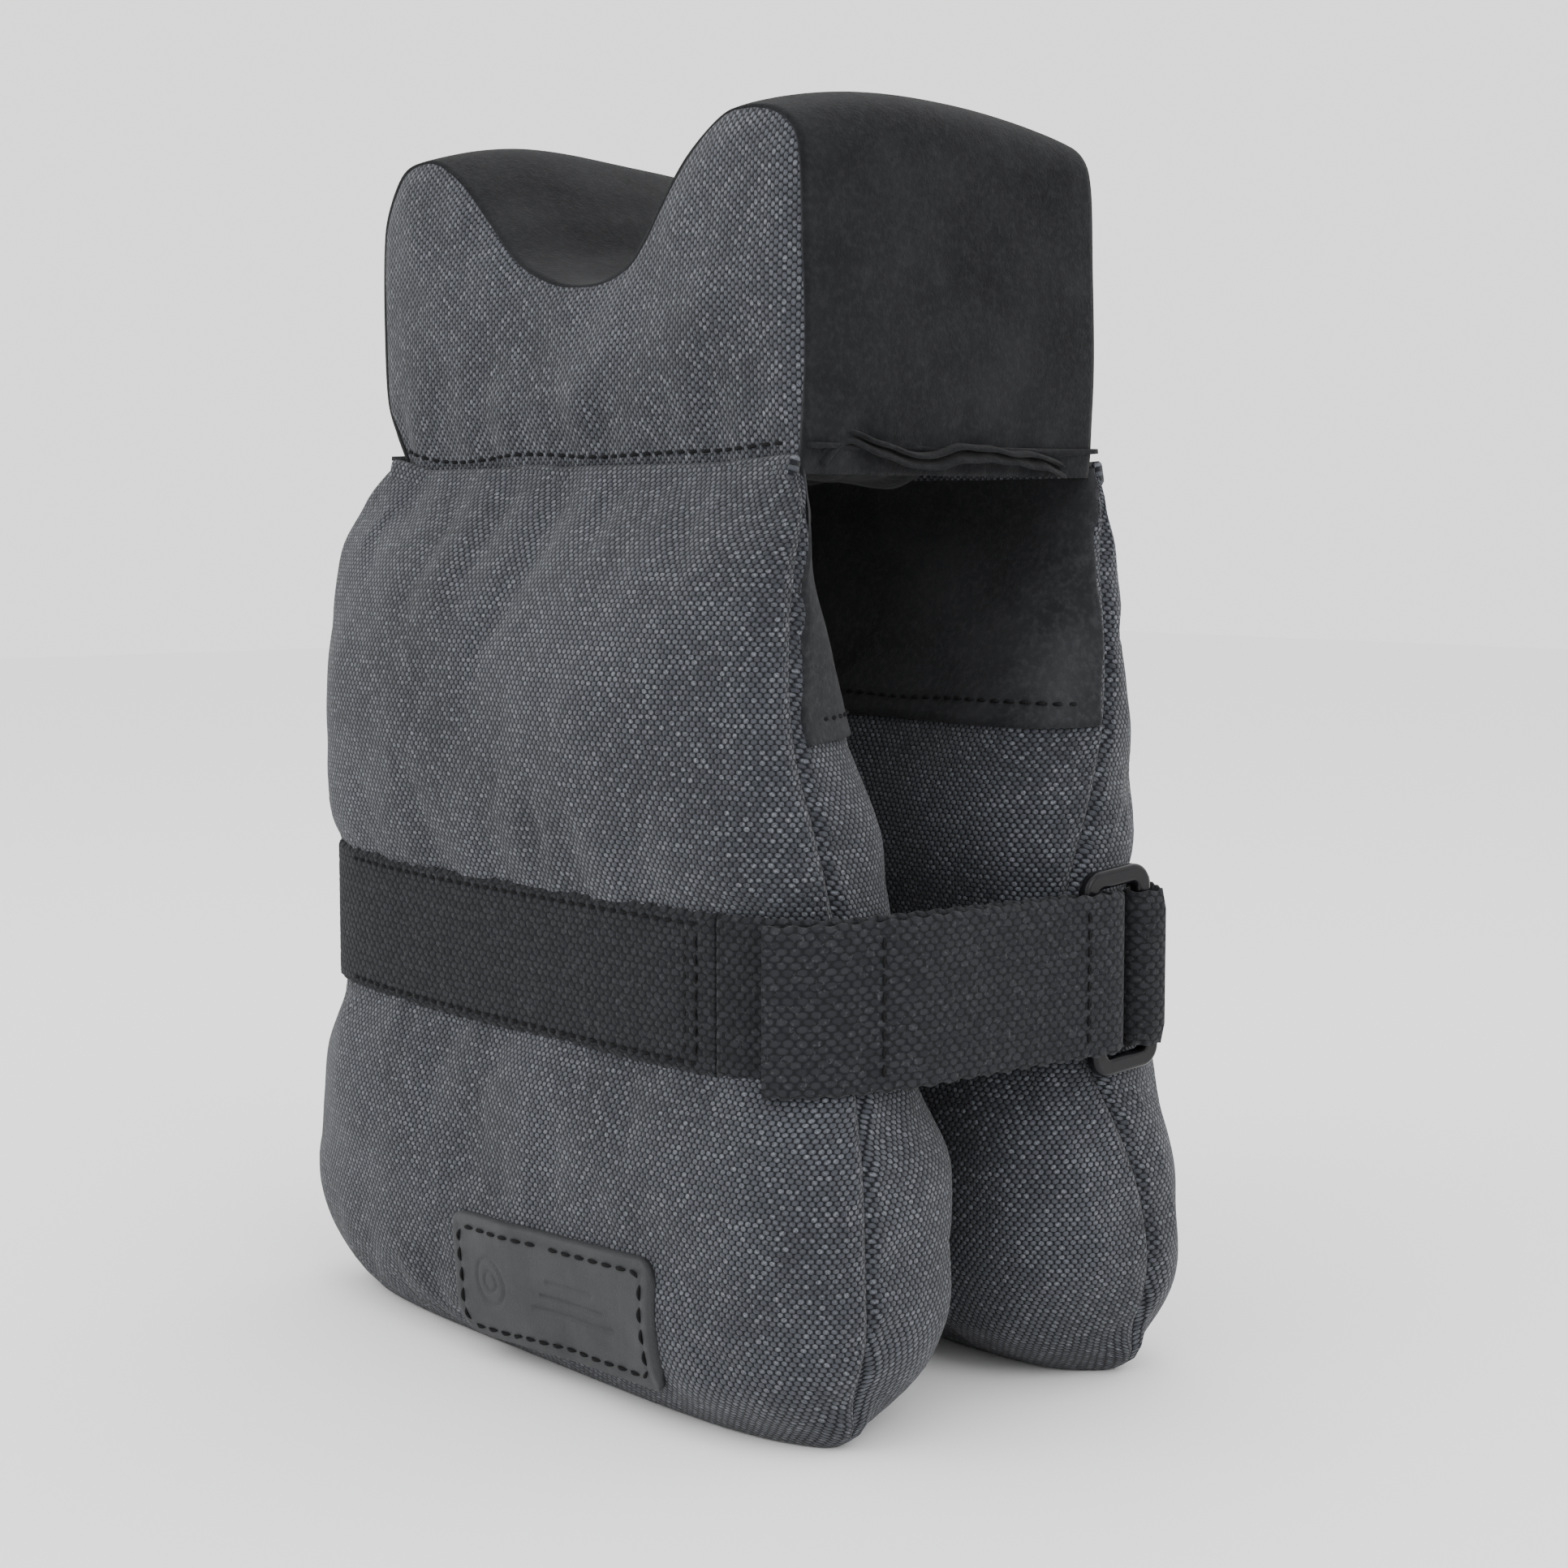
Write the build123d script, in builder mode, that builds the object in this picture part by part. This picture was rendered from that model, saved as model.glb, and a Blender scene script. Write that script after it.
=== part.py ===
"""Saddle sandbag: a notched cushion on two filled legs, tied by a webbing strap with a ring.

Millimetres, +Z up. X runs along the tunnel between the legs, Y from the front leg (-Y, with the
label) to the back leg (+Y). The origin is on the ground, below the middle of the bag.
"""

from build123d import *
from math import cos, radians, sin
import os

os.makedirs("parts", exist_ok=True)

# Cloth
CANVAS = 1.2
SUEDE = 0.8
THREAD = 0.6
STITCH = 2.4

# Legs: height, half length, outer face, inner face and corner radius of each level
LEG_TOP = 185.5
LEG_LEVELS = [
    (0, 68, 53, 25, 12),
    (7, 84, 58, 16, 19),
    (20, 92, 60, 8.5, 24),
    (38, 94.5, 60, 6, 25),
    (57, 93, 58.5, 7, 24),
    (72.5, 88, 55.5, 12, 20),
    (104.5, 88, 55.5, 12, 20),
    (118, 87, 58.5, 17, 19),
    (135, 86, 59, 23, 17),
    (155, 83, 56, 30, 12),
    (172, 79, 50, 36, 6.5),
    (LEG_TOP, 75, 44, 38.5, 2.6),
]
SEAM_TOP_Y = 41.0
SEAM_BOTTOM_Y = 38.0
LINING_BOTTOM = 137.0
LINING_TOP = 182.0
LINING_STITCH_Y, LINING_STITCH_Z = 23.7, 141.0

# Neck and cushion
HEM_HEIGHT = 4.5
HEM_WIDTH = 4.0
CUSHION_BOTTOM = 194.5
CUSHION_DEPTH = 82.0
BAND_PROUD = 0.6
BAND_THICKNESS = 1.6
HORN_X = 77.0
HORN_TOP = 262.0
NOTCH_FLOOR = 229.0
LIP_LENGTH = 72.0

# Strap: 32 mm cotton webbing round both legs at one height
WEBBING_WIDTH = 32.0
WEBBING = 2.0
STRAP_Z = 88.5
TAPE = 0.8
LEG_HALF_X, LEG_OUTER_Y, LEG_CORNER = 88.0, 55.5, 20.0
STRAP_X = LEG_HALF_X + WEBBING / 2 + 0.3
STRAP_Y = LEG_OUTER_Y + WEBBING / 2 + 0.3
SEWN_END_X = 65.0

# Ring: a rounded rectangle whose near bar carries the fold and whose far bar sits in the keeper
RING_X = 92.85
NEAR_BAR_Y = 20.7
FAR_BAR_Y = 36.0
BAR_WIDTH = 3.8
BAR_DEPTH = 3.0
RING_OPENING_HEIGHT = 35.0
RING_TILT = 5.0
FOLD_Y = 24.5
FOLD_GAP = 5.1

# Leather label
LABEL_X, LABEL_Z = 18.5, 20.0
LABEL_LENGTH, LABEL_HEIGHT, LABEL_THICKNESS = 69.0, 27.0, 2.0
LABEL_Y = 60.3


def save(builder, label):
    """Names a finished piece and writes it to its own file."""
    builder.part.label = label
    export_step(builder.part, f"parts/{label}.step")


def leg_levels(side, inset):
    """One leg's horizontal sections from the ground up, each drawn in by the inset."""
    sections = []
    for z, half_x, outer, inner, radius in LEG_LEVELS:
        height = min(max(z, inset), LEG_TOP - max(inset, 0))
        length = 2 * (half_x - inset)
        depth = outer - inner - 2 * inset
        with BuildSketch(Plane.XY.offset(height)) as section:
            with Locations((0, side * (outer + inner) / 2)):
                RectangleRounded(length, depth, radius - inset)
        sections.append(section.sketch)
    return sections


def seam_plane(side):
    """The plane through a leg's end seams, facing outwards."""
    lean = Vector(0, side * (SEAM_TOP_Y - SEAM_BOTTOM_Y), LEG_TOP)
    return Plane(
        origin=(0, side * SEAM_BOTTOM_Y, 0), x_dir=(1, 0, 0), z_dir=lean.cross(Vector(side, 0, 0))
    )


def stitch_row(start, end, pitch, normal):
    """Adds a straight row of thread stitches from start to end to the current part."""
    start, end = Vector(*start), Vector(*end)
    direction = (end - start).normalized()
    count = int((end - start).length / pitch)
    plane = Plane(origin=start, x_dir=direction, z_dir=normal)
    with Locations(plane):
        with Locations([(pitch * (i + 0.5), 0, 0) for i in range(count)]):
            Box(STITCH, THREAD, THREAD)


def strip(points, radii, width, thickness):
    """Adds a flat band of webbing or tape that stands on edge along a filleted path."""
    with BuildLine() as route:
        if radii:
            FilletPolyline(*[(x, y, STRAP_Z) for x, y in points], radius=radii)
        else:
            Line(*[(x, y, STRAP_Z) for x, y in points])
    path = route.wire()
    with BuildSketch(Plane(origin=path @ 0, x_dir=(0, 0, 1), z_dir=path % 0)) as section:
        Rectangle(width, thickness)
    sweep(section.sketch, path=path)


# Legs: outer canvas panel, inner canvas panel and fill
for side, name in ((-1, "front_leg"), (1, "back_leg")):
    for keep, panel in ((Keep.TOP, "outer_panel"), (Keep.BOTTOM, "inner_panel")):
        with BuildPart() as leg_panel:
            loft(leg_levels(side, 0), ruled=True)
            loft(leg_levels(side, CANVAS), ruled=True, mode=Mode.SUBTRACT)
            split(bisect_by=seam_plane(side), keep=keep)
        save(leg_panel, f"{name}_{panel}")

    with BuildPart() as leg_fill:
        loft(leg_levels(side, CANVAS), ruled=True)
    save(leg_fill, f"{name}_fill")

# Suede linings on the upper inner faces of the legs
for side, name in ((-1, "front"), (1, "back")):
    with BuildPart() as lining:
        loft(leg_levels(side, -SUEDE), ruled=True)
        loft(leg_levels(side, 0), ruled=True, mode=Mode.SUBTRACT)
        split(bisect_by=seam_plane(side), keep=Keep.BOTTOM)
        split(bisect_by=Plane.XY.offset(LINING_BOTTOM), keep=Keep.TOP)
        split(bisect_by=Plane.XY.offset(LINING_TOP), keep=Keep.BOTTOM)
    save(lining, f"{name}_lining_patch")

    with BuildPart() as lining_stitches:
        y = side * LINING_STITCH_Y
        stitch_row((-64, y, LINING_STITCH_Z), (64, y, LINING_STITCH_Z), 3.6, (0, -side, 0))
    save(lining_stitches, f"{name}_lining_stitches")

# Folded hems along the neck, with a topstitch
for side, name in ((-1, "front"), (1, "back")):
    with BuildPart() as hem:
        with BuildSketch(Plane.XY.offset(LEG_TOP)):
            with Locations((0, side * 41.2)):
                RectangleRounded(148, HEM_WIDTH, 1.5)
        extrude(amount=HEM_HEIGHT)
        fillet(hem.edges().group_by(Axis.Z)[-1], 0.8)
    save(hem, f"{name}_hem")

    with BuildPart() as hem_stitches:
        y, z = side * (41.2 + HEM_WIDTH / 2 + THREAD / 2), LEG_TOP + HEM_HEIGHT - 1.5
        stitch_row((-70, y, z), (70, y, z), 3.8, (0, side, 0))
    save(hem_stitches, f"{name}_hem_stitches")


def cushion_outline(inset):
    """The two-horned outline of the cushion in the XZ plane, drawn in by the inset."""
    with BuildSketch(Plane.XZ) as outline:
        with BuildLine():
            right = FilletPolyline(
                (HORN_X - 4, CUSHION_BOTTOM - 20),
                (HORN_X - 1, 214),
                (HORN_X, HORN_TOP + 2),
                (44, HORN_TOP + 1),
                (16, NOTCH_FLOOR),
                (0, NOTCH_FLOOR),
                radius=[60, 14, 14, 20],
            )
            mirror(right, about=Plane.YZ)
            Line(right @ 0, (-(right @ 0).X, (right @ 0).Y))
        make_face()
        if inset:
            offset(amount=-inset, mode=Mode.REPLACE)
    return outline.sketch


CUSHION_FLOOR = CUSHION_BOTTOM + CANVAS
FACE_Y = CUSHION_DEPTH / 2

with BuildPart() as suede_band:
    extrude(cushion_outline(0), amount=FACE_Y + BAND_PROUD, both=True)
    extrude(cushion_outline(BAND_THICKNESS), amount=FACE_Y + 5, both=True, mode=Mode.SUBTRACT)
    split(bisect_by=Plane.XY.offset(CUSHION_FLOOR), keep=Keep.TOP)
save(suede_band, "cushion_suede_band")

for side, name in ((-1, "front"), (1, "back")):
    with BuildPart() as face_panel:
        extrude(cushion_outline(BAND_THICKNESS), amount=-side * FACE_Y)
        extrude(
            cushion_outline(BAND_THICKNESS), amount=-side * (FACE_Y - CANVAS), mode=Mode.SUBTRACT
        )
        split(bisect_by=Plane.XY.offset(CUSHION_FLOOR), keep=Keep.TOP)
    save(face_panel, f"cushion_{name}_panel")

with BuildPart() as cushion_fill:
    extrude(cushion_outline(BAND_THICKNESS), amount=FACE_Y - CANVAS, both=True)
    split(bisect_by=Plane.XY.offset(CUSHION_FLOOR), keep=Keep.TOP)
save(cushion_fill, "cushion_fill")

with BuildPart() as underside:
    with BuildSketch(Plane.XY.offset(CUSHION_BOTTOM)):
        RectangleRounded(2 * (HORN_X - 3), CUSHION_DEPTH, 6)
    extrude(amount=CANVAS)
save(underside, "cushion_underside_panel")

# Raw-edged suede lips of the end seams, two layers at each end of the neck
for side, name in ((-1, "left"), (1, "right")):
    with BuildPart() as lips:
        for layer, overhang in ((0, 1.0), (1, 1.6)):
            z = CUSHION_BOTTOM - (layer + 1) * (SUEDE + 0.3) + 0.3 * (1 - layer)
            with BuildSketch(Plane.XY.offset(z)):
                with Locations((side * (HORN_X - 2.5 + overhang / 2), 0)):
                    RectangleRounded(6 + overhang, LIP_LENGTH, 1.5)
            extrude(amount=SUEDE)
    save(lips, f"{name}_seam_lips")

# Main webbing: sewn to the front leg, round the left end, sewn to the back leg
with BuildPart() as main_webbing:
    strip(
        [(SEWN_END_X, -STRAP_Y), (-STRAP_X, -STRAP_Y), (-STRAP_X, STRAP_Y), (38, STRAP_Y)],
        LEG_CORNER + WEBBING / 2 + 0.3,
        WEBBING_WIDTH,
        WEBBING,
    )
save(main_webbing, "main_webbing")

# Standing strap: the free run across the gap, ending in the fold round the ring's near bar
with BuildPart() as standing_strap:
    outer_x = STRAP_X + FOLD_GAP + WEBBING
    fold_end_y = FOLD_Y + (FOLD_GAP + WEBBING) / 2
    strip(
        [
            (SEWN_END_X + 0.3, -STRAP_Y),
            (STRAP_X, -STRAP_Y),
            (STRAP_X, fold_end_y),
            (outer_x, fold_end_y),
            (outer_x, FOLD_Y),
        ],
        [LEG_CORNER + WEBBING / 2 + 0.3] + [(FOLD_GAP + WEBBING) / 2 - 0.05] * 2,
        WEBBING_WIDTH,
        WEBBING,
    )
save(standing_strap, "standing_strap")

# Keeper: a doubled end of webbing sewn to the back leg, looped round the ring's far bar
KEEPER_GAP = 4.4
KEEPER_END_X = 40.0
with BuildPart() as ring_keeper:
    inner_x = STRAP_X + 0.3
    outer_x = inner_x + KEEPER_GAP + WEBBING
    loop_y = FAR_BAR_Y - 5.0
    strip(
        [
            (KEEPER_END_X, STRAP_Y),
            (inner_x, STRAP_Y),
            (inner_x, loop_y),
            (outer_x, loop_y),
            (outer_x, STRAP_Y + WEBBING + 0.2),
            (KEEPER_END_X, STRAP_Y + WEBBING + 0.2),
        ],
        [LEG_CORNER + WEBBING / 2 + 0.4] + [(KEEPER_GAP + WEBBING) / 2 - 0.05] * 2 + [22],
        WEBBING_WIDTH,
        WEBBING,
    )
save(ring_keeper, "ring_keeper")

# Ring
ring_middle = (RING_X, (NEAR_BAR_Y + FAR_BAR_Y) / 2, STRAP_Z)
ring_plane = Plane(
    origin=ring_middle,
    x_dir=(0, cos(radians(RING_TILT)), sin(radians(RING_TILT))),
    z_dir=(1, 0, 0),
)
with BuildPart() as ring:
    with BuildSketch(ring_plane):
        opening_width = FAR_BAR_Y - NEAR_BAR_Y - BAR_WIDTH
        RectangleRounded(
            opening_width + 2 * BAR_WIDTH, RING_OPENING_HEIGHT + 2 * BAR_WIDTH, 4.5
        )
        RectangleRounded(opening_width, RING_OPENING_HEIGHT, 1.5, mode=Mode.SUBTRACT)
    extrude(amount=BAR_DEPTH / 2, both=True)
    fillet(ring.edges().filter_by(ring_plane), 1.0)
save(ring, "ring")

# Strap tail with its hook tape, and the loop tape that it grips on the standing strap
CORNER_X, CORNER_Y = LEG_HALF_X - LEG_CORNER, LEG_OUTER_Y - LEG_CORNER
TAIL_START_Y = FOLD_Y - 0.3
TAIL_TIP_ANGLE = 58.0
SLOPE_START_X = STRAP_X + FOLD_GAP + WEBBING


def wrapped_strip(clearance, thickness, start, width, tip_angle):
    """Adds a band from a start point to the front leg's near corner and round it.

    The clearance is from the standing strap's middle line to the band's middle line.
    """
    radius = STRAP_X - CORNER_X + clearance
    with BuildLine() as route:
        arc = CenterArc((CORNER_X, -CORNER_Y, STRAP_Z), radius, 0, -tip_angle)
        Line(arc @ 0, (start[0], start[1], STRAP_Z))
    path = route.wire()
    with BuildSketch(Plane(origin=path @ 0, x_dir=(0, 0, 1), z_dir=path % 0)) as section:
        Rectangle(width, thickness)
    sweep(section.sketch, path=path, transition=Transition.ROUND)


TAIL_CLEARANCE = WEBBING + 2 * TAPE + 0.4
with BuildPart() as strap_tail:
    wrapped_strip(
        TAIL_CLEARANCE, WEBBING, (SLOPE_START_X, TAIL_START_Y), WEBBING_WIDTH, TAIL_TIP_ANGLE
    )
save(strap_tail, "strap_tail")

with BuildPart() as hook_patch:
    y = -18.0
    share = (y + CORNER_Y) / (TAIL_START_Y + CORNER_Y)
    tail_x = STRAP_X + TAIL_CLEARANCE + share * (FOLD_GAP + WEBBING - TAIL_CLEARANCE)
    tape_offset = (WEBBING + TAPE) / 2 + 0.05
    wrapped_strip(
        TAIL_CLEARANCE - tape_offset, TAPE, (tail_x - tape_offset, y), 28, TAIL_TIP_ANGLE - 3
    )
save(hook_patch, "hook_patch")

with BuildPart() as loop_patch:
    wrapped_strip((WEBBING + TAPE) / 2, TAPE, (STRAP_X + (WEBBING + TAPE) / 2, -8), 28, 62)
save(loop_patch, "loop_patch")

# Thread on the webbing and the tail
with BuildPart() as webbing_stitches:
    face_y = -STRAP_Y - WEBBING / 2 - THREAD / 2
    for z in (STRAP_Z - 13.5, STRAP_Z + 13.5):
        stitch_row((-66, face_y, z), (58, face_y, z), 3.6, (0, -1, 0))
    stitch_row((60, face_y, STRAP_Z - 13), (60, face_y, STRAP_Z + 13), 3.6, (0, -1, 0))
save(webbing_stitches, "webbing_stitches")

with BuildPart() as keeper_stitches:
    face_y = STRAP_Y + WEBBING * 1.5 + 0.2 + THREAD / 2
    for x in (44, 62):
        stitch_row((x, face_y, STRAP_Z - 13), (x, face_y, STRAP_Z + 13), 3.6, (0, 1, 0))
save(keeper_stitches, "keeper_stitches")

with BuildPart() as tail_stitches:
    y = 20.0
    share = (y + CORNER_Y) / (TAIL_START_Y + CORNER_Y)
    face_x = STRAP_X + TAIL_CLEARANCE + share * (FOLD_GAP + WEBBING - TAIL_CLEARANCE)
    face_x += WEBBING / 2 + THREAD / 2 + 0.05
    stitch_row((face_x, y, STRAP_Z - 13), (face_x, y, STRAP_Z + 13), 3.6, (1, 0, 0))
    reach = STRAP_X - CORNER_X + TAIL_CLEARANCE + WEBBING / 2 + THREAD / 2 + 0.05
    angle = radians(TAIL_TIP_ANGLE - 32)
    x, y = CORNER_X + reach * cos(angle), -CORNER_Y - reach * sin(angle)
    outwards = (cos(angle), -sin(angle), 0)
    stitch_row((x, y, STRAP_Z - 13), (x, y, STRAP_Z + 13), 3.6, outwards)
save(tail_stitches, "tail_stitches")

# Leather label with a border of stitches
with BuildPart() as leather_label:
    with BuildSketch(Plane.XZ.offset(LABEL_Y)):
        with Locations((LABEL_X, LABEL_Z)):
            RectangleRounded(LABEL_LENGTH, LABEL_HEIGHT, 5)
    extrude(amount=LABEL_THICKNESS)
    fillet(leather_label.faces().sort_by(Axis.Y)[0].edges(), 0.6)
save(leather_label, "leather_label")

with BuildPart() as label_stitches:
    face_y = -(LABEL_Y + LABEL_THICKNESS + THREAD / 2)
    half_x, half_z = LABEL_LENGTH / 2 - 3, LABEL_HEIGHT / 2 - 3
    for sign in (-1, 1):
        z = LABEL_Z + sign * half_z
        stitch_row(
            (LABEL_X - half_x + 2, face_y, z), (LABEL_X + half_x - 2, face_y, z), 4.6, (0, -1, 0)
        )
        x = LABEL_X + sign * half_x
        stitch_row(
            (x, face_y, LABEL_Z - half_z + 2), (x, face_y, LABEL_Z + half_z - 2), 4.2, (0, -1, 0)
        )
save(label_stitches, "label_stitches")
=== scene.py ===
"""Looks of the saddle sandbag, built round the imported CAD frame. Metres, +Z up."""

import math

import bmesh
import bpy
import numpy as np
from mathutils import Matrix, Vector
from mathutils.bvhtree import BVHTree


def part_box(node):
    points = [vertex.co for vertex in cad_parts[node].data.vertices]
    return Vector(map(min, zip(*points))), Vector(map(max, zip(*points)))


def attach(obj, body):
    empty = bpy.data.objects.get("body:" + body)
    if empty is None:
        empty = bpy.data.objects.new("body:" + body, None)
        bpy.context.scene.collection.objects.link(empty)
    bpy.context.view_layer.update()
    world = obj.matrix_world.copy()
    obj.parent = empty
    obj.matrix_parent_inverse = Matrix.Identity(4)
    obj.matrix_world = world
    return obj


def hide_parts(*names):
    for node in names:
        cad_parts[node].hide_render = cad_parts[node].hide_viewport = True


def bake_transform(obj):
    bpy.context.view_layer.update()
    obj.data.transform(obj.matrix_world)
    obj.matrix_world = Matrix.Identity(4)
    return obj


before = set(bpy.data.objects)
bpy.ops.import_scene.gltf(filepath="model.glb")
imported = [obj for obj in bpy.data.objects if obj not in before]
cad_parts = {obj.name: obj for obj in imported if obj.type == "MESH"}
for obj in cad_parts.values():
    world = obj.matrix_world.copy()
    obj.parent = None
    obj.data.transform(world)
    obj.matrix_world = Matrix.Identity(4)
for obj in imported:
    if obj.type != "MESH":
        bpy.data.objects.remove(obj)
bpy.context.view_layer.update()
MM = 0.001

# ---- places read from the frame
LEG_LOW, LEG_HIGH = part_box("front_leg_outer_panel")
UNDER_LOW, UNDER_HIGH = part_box("cushion_underside_panel")
HEM_LOW, HEM_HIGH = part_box("front_hem")
WEB_LOW, WEB_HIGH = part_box("main_webbing")
KEEPER_LOW, KEEPER_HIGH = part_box("ring_keeper")
LABEL_LOW, LABEL_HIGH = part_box("leather_label")
FILL_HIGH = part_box("cushion_fill")[1]
BAND_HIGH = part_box("cushion_suede_band")[1]
STAND_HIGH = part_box("standing_strap")[1]
RING_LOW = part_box("ring")[0]
LINING_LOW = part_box("front_lining_patch")[0]

LEG_TOP = LEG_HIGH.z
NECK_Z = HEM_HIGH.z
STRAP_Z = (WEB_LOW.z + WEB_HIGH.z) / 2
WEBBING_WIDTH = WEB_HIGH.z - WEB_LOW.z
LABEL_MIDDLE, LABEL_SIZE = (LABEL_LOW + LABEL_HIGH) / 2, LABEL_HIGH - LABEL_LOW

# The front of the bag faces -Y
SIDES = ((-1, "front"), (1, "back"))

# Thicknesses and spacings that aren't in the frame
WEBBING = 2.0 * MM
CANVAS_CLOTH = 1.1 * MM
ROUTE_STEP = 0.8 * MM
THREAD_PITCH = 3.5 * MM
# The yarn bumps of the webbing: their spacing along and across it
WEB_PITCH = (2.5 * MM, 1.35 * MM)


# ---- small tools
def smooth(x, low, high):
    """Smooth step from 0 at low to 1 at high."""
    t = np.clip((x - low) / (high - low), 0, 1)
    return t * t * (3 - 2 * t)


def bump(x, centre, width):
    """Bell of height 1 round a centre."""
    return np.exp(-(((x - centre) / width) ** 2))


def ripple(x, y, scale, seed):
    """Soft random relief of about unit height: a few sine waves in random directions."""
    rng = np.random.default_rng(seed)
    total = np.zeros(np.broadcast(x, y).shape)
    for _ in range(9):
        angle, phase = rng.uniform(0, math.tau, 2)
        pitch = scale * rng.uniform(0.6, 1.7)
        total += np.sin(math.tau * (x * math.cos(angle) + y * math.sin(angle)) / pitch + phase)
    return total / 3.0


def curve_through(table, z):
    """Values of each column of a table at heights z, by a smooth curve through its rows."""
    knots = np.array([row[0] for row in table])
    out = []
    for column in range(1, len(table[0])):
        v = np.array([row[column] for row in table])
        slope = np.gradient(v, knots)
        i = np.clip(np.searchsorted(knots, z) - 1, 0, len(knots) - 2)
        h = knots[i + 1] - knots[i]
        t = np.clip((z - knots[i]) / h, 0, 1)
        a, b = 2 * t**3 - 3 * t**2 + 1, t**3 - 2 * t**2 + t
        c, d = -2 * t**3 + 3 * t**2, t**3 - t**2
        out.append(a * v[i] + b * h * slope[i] + c * v[i + 1] + d * h * slope[i + 1])
    return out


def grid_faces(rows, columns, closed=False, first=0):
    """Quads of a grid of rows by columns, whose rows may close on themselves."""
    faces = []
    for r in range(rows - 1):
        for c in range(columns if closed else columns - 1):
            n = (c + 1) % columns
            a, b = first + r * columns + c, first + r * columns + n
            faces.append((a, b, b + columns, a + columns))
    return faces


def add_object(name, data):
    """A new object in the scene, made from a mesh, light or camera."""
    obj = bpy.data.objects.new(name, data)
    bpy.context.scene.collection.objects.link(obj)
    return obj


def tube_faces(rows, columns, first=0):
    """Faces of a closed body whose rows close on themselves, with a cap at each end."""
    end = first + (rows - 1) * columns
    caps = [tuple(range(first, first + columns))[::-1], tuple(range(end, end + columns))]
    return grid_faces(rows, columns, closed=True, first=first) + caps


def make_mesh(name, points, faces, uv=None):
    """A mesh object from points, faces and one UV pair per point, in metres of cloth."""
    mesh = bpy.data.meshes.new(name)
    mesh.from_pydata([tuple(p) for p in points], [], faces)
    mesh.update()
    if uv is not None:
        layer = mesh.uv_layers.new(name="cloth")
        loops = np.zeros(len(mesh.loops), np.int32)
        mesh.loops.foreach_get("vertex_index", loops)
        layer.data.foreach_set("uv", np.asarray(uv, np.float32)[loops].ravel())
    mesh.polygons.foreach_set("use_smooth", [True] * len(mesh.polygons))
    return add_object(name, mesh)


def thicken(obj, thickness):
    """Gives an open sheet a thickness, inwards from its face."""
    solid = obj.modifiers.new("thick", "SOLIDIFY")
    solid.thickness = thickness
    solid.offset = -1.0
    solid.use_even_offset = False
    graph = bpy.context.evaluated_depsgraph_get()
    mesh = bpy.data.meshes.new_from_object(
        obj.evaluated_get(graph), preserve_all_data_layers=True, depsgraph=graph
    )
    obj.modifiers.clear()
    obj.data = mesh
    return obj


def recalculate(obj):
    """Makes the faces of a mesh agree, outwards where it is closed."""
    bm = bmesh.new()
    bm.from_mesh(obj.data)
    bmesh.ops.recalc_face_normals(bm, faces=bm.faces)
    bm.to_mesh(obj.data)
    bm.free()
    obj.data.update()


def turn_to(obj, face, direction):
    """Turns a sheet over if one face of it looks away from a direction."""
    if face.normal.dot(Vector(direction)) < 0:
        obj.data.flip_normals()


def middle_face(obj):
    return obj.data.polygons[len(obj.data.polygons) // 2]


def points_of(obj):
    co = np.zeros(len(obj.data.vertices) * 3)
    obj.data.vertices.foreach_get("co", co)
    return co.reshape(-1, 3)


def set_points(obj, points):
    obj.data.vertices.foreach_set("co", np.asarray(points, float).ravel())
    obj.data.update()


def finish_piece(obj, material, nodes=(), body=None):
    """Material, replaced CAD nodes and body of a finished piece."""
    obj.data.materials.clear()
    obj.data.materials.append(material)
    if nodes:
        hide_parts(*nodes)
    if body:
        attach(obj, body)
    return obj


def join(name, objs):
    """One object out of several."""
    bpy.ops.object.select_all(action="DESELECT")
    for o in objs:
        o.select_set(True)
    bpy.context.view_layer.objects.active = objs[0]
    bpy.ops.object.join()
    objs[0].name = name
    return objs[0]


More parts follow.
